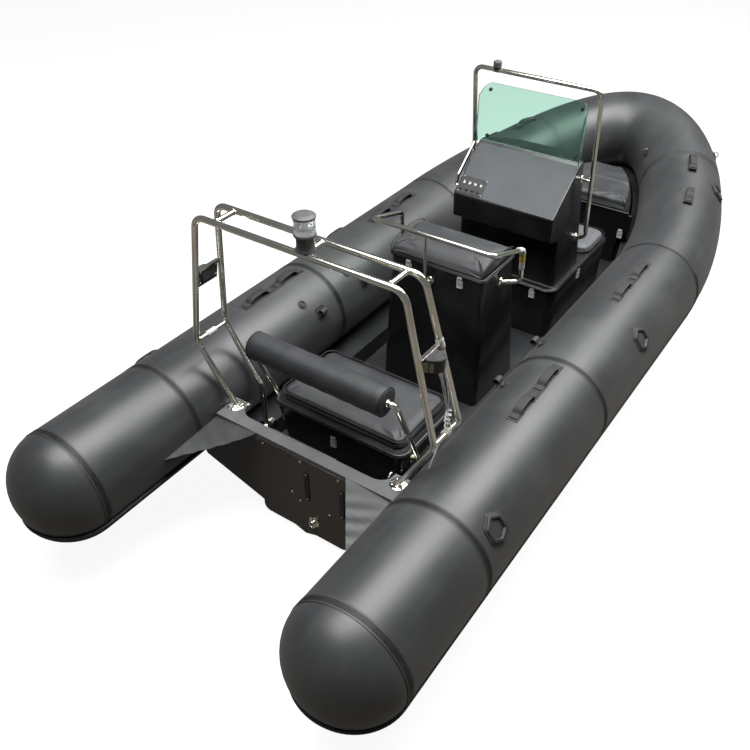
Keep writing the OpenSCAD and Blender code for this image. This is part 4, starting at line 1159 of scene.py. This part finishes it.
# ---- Switch panel ----
# A small black panel low on the dash's port side: four toggle switches in chromed
# collars over four rubber-booted breakers, held by a screw in each corner.
panel_paint = Paint("switch_panel_black", "lamp_plastic", (0.014, 0.014, 0.015), 0.4) \
    .wear((0.05, 0.05, 0.05), 0.5, 60.0).grain(900.0, 0.2, 0.0004)
panel_top, switch_x = 0.0042, [-0.266 + 0.034 * k for k in range(4)]
bm = bmesh.new()
bar(bm, (-0.286, 0.014, 0.0), (-0.136, 0.114, panel_top), dash, corner=0.007)
for x in switch_x:
    lathe(bm, [(0, 0.0065), (0.0045, 0.0062), (0.0068, 0.0045), (0.008, 0.003),
               (0.0098, 0.0018), (0.01, 0)], 24, dash @ spot(x, 0.036, panel_top))
piece(bm, "switch_panel_plate", panel_paint, ["switch_panel"], "console", crease=40, bevel=0.0012)
bm = bmesh.new()
for x in switch_x:
    at = dash @ spot(x, 0.076, panel_top)
    lathe(bm, [(0, 0.0022), (0.004, 0.0022), (0.0048, 0.003), (0.0062, 0.0028),
               (0.0066, 0.0)], 24, at)
    lathe(bm, [(0, 0.015), (0.002, 0.0145), (0.0026, 0.013), (0.0016, 0.004),
               (0.0014, 0.0)], 16, at @ spot(0, 0, 0, -16, "X"))
for x in (-0.28, -0.142):
    for y in (0.02, 0.108):
        lathe(bm, [(0, 0.0014), (0.0016, 0.0013), (0.0026, 0.0004), (0.0027, 0)], 12,
              dash @ spot(x, y, panel_top))
piece(bm, "switch_toggles", steel, body="console", crease=40)

# ---- Windscreen ----
# Green-tinted acrylic sheet, bent round the console's top with a short return on each
# side, rounded at its top corners and bolted through rubber washers.
tint = Paint("screen_tint", "screen_clear", (0.48, 0.73, 0.62), 0.035,
             transmission_weight=0.95, ior=1.16)
tint.set("Roughness", 0.02 + tint.noise(9.0, 5.0).clipped(0.4, 0.9) * 0.05)
screen_half, screen_front, screen_back = 0.3035, 0.4245, 0.366
screen_low, screen_tall, screen_bend, screen_corner, rows = 0.9833, 0.3177, 0.04, 0.06, 16
plan = [(screen_half, screen_back), (screen_half, screen_back + 0.008)]
plan += [(screen_half - screen_bend + x, screen_front - 0.043 + y)
         for x, y in arc(screen_bend, 9, 11)]
plan += [(x / 20 * screen_half * 0.86, screen_front - 0.003) for x in range(19, 0, -1)]
plan += [(-x, y) for x, y in reversed(plan)]
bm = bmesh.new()
foot = [bm.verts.new((x, y, 0)) for x, y in plan]
sweep(bm, (foot, [bm.edges.new(pair) for pair in zip(foot, foot[1:])]),
      [spot(0, 0, screen_low + screen_tall * k / rows) for k in range(rows + 1)], ends=False)
for v in bm.verts:
    over = max(0.0, abs(v.co.x) - (screen_half - screen_corner))
    drop = screen_corner - sqrt(max(0.0, screen_corner ** 2 - over ** 2))
    v.co.z -= ((v.co.z - screen_low) / screen_tall) ** 2 * min(drop, 0.058) * 0.98
bmesh.ops.recalc_face_normals(bm, faces=bm.faces)
bmesh.ops.solidify(bm, geom=bm.faces[:], thickness=0.005)
piece(bm, "windscreen_sheet", tint, ["windscreen"], "console", crease=50)
bm = bmesh.new()
for x in (-0.262, 0.262):
    for z in (1.262, 1.01):
        for y, turned in ((screen_front + 0.001, -90), (screen_front - 0.0105, 90)):
            lathe(bm, [(0, 0.004), (0.004, 0.0038), (0.005, 0.002), (0.0085, 0.0016),
                       (0.0088, 0)], 20, spot(x, y, z, turned, "X"))
piece(bm, "windscreen_bolts", rubber, body="console", crease=40)

# ---- Windscreen rail ----
# A stainless tube guards the screen: up both sides and over the top, hooked in to the
# console at its feet, with a standoff each side and a grab branch on the port side.
guard_x, guard_y, guard_low, guard_top = 0.354, 0.5, 0.52, (0.354, 0.405, 1.375)
pipe("windscreen_rail_tube", hooped([(0.3005, guard_y, guard_low), (guard_x, guard_y, guard_low),
                                     guard_top]), 0.024, 0.045, ["windscreen_rail"], "console")
bm = bmesh.new()
for side in (-1, 1):
    weld(bm, (side * 0.3035, 0.46, 0.88), (side * 0.3475, 0.46, 0.88), 0.008)
    for z, y in ((0.88, 0.46), (guard_low, guard_y)):
        lathe(bm, [(0.0085, 0.007), (0.012, 0.005), (0.022, 0.003), (0.023, 0)], 32,
              spot(side * 0.3005, y, z, 90 * side, "Y"))
piece(bm, "windscreen_rail_mounts", steel, body="console", crease=40)
pipe("console_grab_branch", [(-0.352, 0.446, 0.94), (-0.352, 0.285, 0.806),
                             (-0.352, 0.262, 0.752), (-0.301, 0.262, 0.752)],
     0.02, 0.02, body="console")
bm = bmesh.new()
lathe(bm, [(0, 0.0345), (0.015, 0.0342), (0.0195, 0.0325), (0.022, 0.029), (0.022, 0.018),
           (0.0205, 0.0165), (0.0205, 0.013), (0.022, 0.0115), (0.022, 0.0035),
           (0.02, 0.0005), (0, 0.0005)], 40, spot(-0.227, 0.405, 1.3873))
bar(bm, (-0.243, 0.392, 1.3655), (-0.211, 0.418, 1.3885), corner=0.006)
piece(bm, "screen_lamp_turned", lamp_grey, ["screen_lamp"], "console", crease=40)

# ---- Front seat ----
# A foam cushion in a paler leather cloth, with a piped edge, lies on the console's lid
# in front of the body and tips with it.
pale_vinyl = Paint("front_seat_cloth", "cushion_light", (0.12, 0.125, 0.132), 0.48,
                   specular_ior_level=0.45) \
    .wear((0.09, 0.094, 0.098), 0.4, 6.0, 0.14, 6.0, 0.4, 0.8)
pale_vinyl.bump(pale_vinyl.cells(420.0).clipped(0.0, 0.9) + pale_vinyl.noise(25.0, 4.0) * 1.5,
                0.2, 0.0012)
bm = bmesh.new()
moulded_box(bm, rect(0.309, 0.706, 0.994), rect(0.307, 0.708, 0.992), 0.3066, 0.344, 0.058)
puffed(bm, "front_seat_pad", pale_vinyl, "console", "console_seat_cushion", 0.006,
       shape=crown(0.315, 0.85, 0.15, 0.002, 0.31))
front_edge = rim_line(0.3145, 0.7005, 0.9995, 0.058, 0.338)
piping("front_seat_piping", [front_edge + front_edge[:2]], 0.002, "console")

# ---- Bow locker ----
# A moulded tray spans the tubes at the bow, with a hinged lid for the anchor locker and
# a thick wedge-shaped cushion, sewn across its middle.
worked("bow_locker", "bow_locker_moulding", gel, 0.005)
worked("bow_locker_lid", "bow_locker_lid_moulded", gel, 0.006, "bow_lid")
wedge = [(0.322, 1.274), (0.311, 1.33), (0.298, 1.385), (0.28, 1.445), (0.2585, 1.51),
         (0.231, 1.575), (0.199, 1.64), (0.16, 1.7), (0.128, 1.745), (0.1, 1.78)]
wedge += [(-x, y) for x, y in reversed(wedge)]
pad_low, pad_high, seam_y = 0.3616, 0.42, 1.52
bm = bmesh.new()
sweep(bm, outline(bm, [(x * 0.985, seam_y + (y - seam_y) * 0.985) for x, y in wedge]),
      [spot(0, 0, pad_low), spot(0, 0, pad_high)])
rim = [e for e in bm.edges if all(abs(v.co.z - pad_high) < 1e-6 for v in e.verts)
       and len(e.link_faces) == 2]
rounded_over(bm, rim, 0.014, 4)


def bow_shape(co):
    """A little crown, the sewn channel, and creases by the aft edge."""
    seam_dip = 0.009 * exp(-((co.y - seam_y) / 0.012) ** 2)
    top = max(0.0, min(1.0, (co.z - 0.385) / 0.03))
    crease = 0.0022 * sin(co.x * 70 + 3 * sin(co.y * 60)) * exp(-((co.y - 1.3) / 0.05) ** 2)
    co.z += (0.004 * sin(pi * (co.y - 1.27) / 0.51) - seam_dip + crease) * top
    return co


puffed(bm, "bow_pad", vinyl, "bow_lid", "bow_cushion", 0.007, shape=bow_shape)
lower_welt = [(x, y, 0.3665) for x, y in wedge]
piping("bow_pad_piping", [lower_welt + lower_welt[:2]], 0.0024, "bow_lid")

# ---- Latches and hinges ----
# Stainless toggle latches hold the lids: a base plate with two rivets, a bent lever and
# a hook over a keeper on the lid's lip. The two seat lids and the console turn on pairs
# of butt hinges.
def latch(bm):
    bar(bm, (-0.013, -0.002, -0.022), (0.013, -0.0002, 0.01))
    bar(bm, (-0.01, -0.0078, -0.018), (0.01, -0.0056, 0.006), spot(0, 0, 0, 6, "X"))
    bar(bm, (-0.011, -0.007, -0.0215), (0.011, -0.0015, -0.0165))
    for x in (-0.0075, 0.0075):
        rod(bm, [(x, -0.0062, 0.002), (x, -0.0066, 0.018)], 0.0015, 8)
    rod(bm, [(-0.0088, -0.0066, 0.0185), (0.0088, -0.0066, 0.0185)], 0.0015, 8)
    bar(bm, (-0.009, -0.0075, 0.015), (0.009, -0.0002, 0.0218))
    for x in (-0.0095, 0.0095):
        lathe(bm, [(0, 0.0012), (0.0018, 0.001), (0.0024, 0)], 12,
              spot(x, -0.002, -0.0135, 90, "X"))


def hinge(bm):
    for low, high in ((-0.032, -0.011), (-0.01, 0.01), (0.011, 0.032)):
        rod(bm, [(low, 0, 0), (high, 0, 0)], 0.0034, 16)
    bar(bm, (-0.032, -0.004, -0.03), (0.032, -0.0022, 0.001))
    for x in (-0.02, 0.02):
        lathe(bm, [(0, 0.0013), (0.0025, 0.0011), (0.004, 0)], 16,
              spot(x, -0.0024, -0.018, -90, "X"))


# The latches get a pale colour at low metallic. This is painted highlight: it stands in for the
# bright reflections of their chrome, which they would not catch here.
latch_glint_paint = Paint("latch_painted_glint", "stainless", (0.86, 0.86, 0.85), 0.22, metallic=0.3) \
    .wear((0.62, 0.6, 0.56), 0.4, 120.0)
latch_spots = [spot(*at) @ Matrix.Diagonal((1.35, 1.1, 1.35, 1)) for at in (
    (-0.014, -1.358, 0.2), (-0.15, -0.5325, 0.686), (0.14, -0.5325, 0.686),
    (0.198, 0.224, 0.256), (0.3205, 0.569, 0.256, 90), (0.315, 1.2597, 0.207))]
piece(placed(latch, latch_spots), "latches_toggle", latch_glint_paint, ["latches"], crease=40, bevel=0.0005)
hinge_spots = [spot(side * x, y, z) for x, y, z in (
    (0.22, -0.8985, 0.2745), (0.16, -0.2035, 0.7085), (0.2, 1.009, 0.2805)) for side in (-1, 1)]
piece(placed(hinge, hinge_spots), "butt_hinges", steel, crease=40)
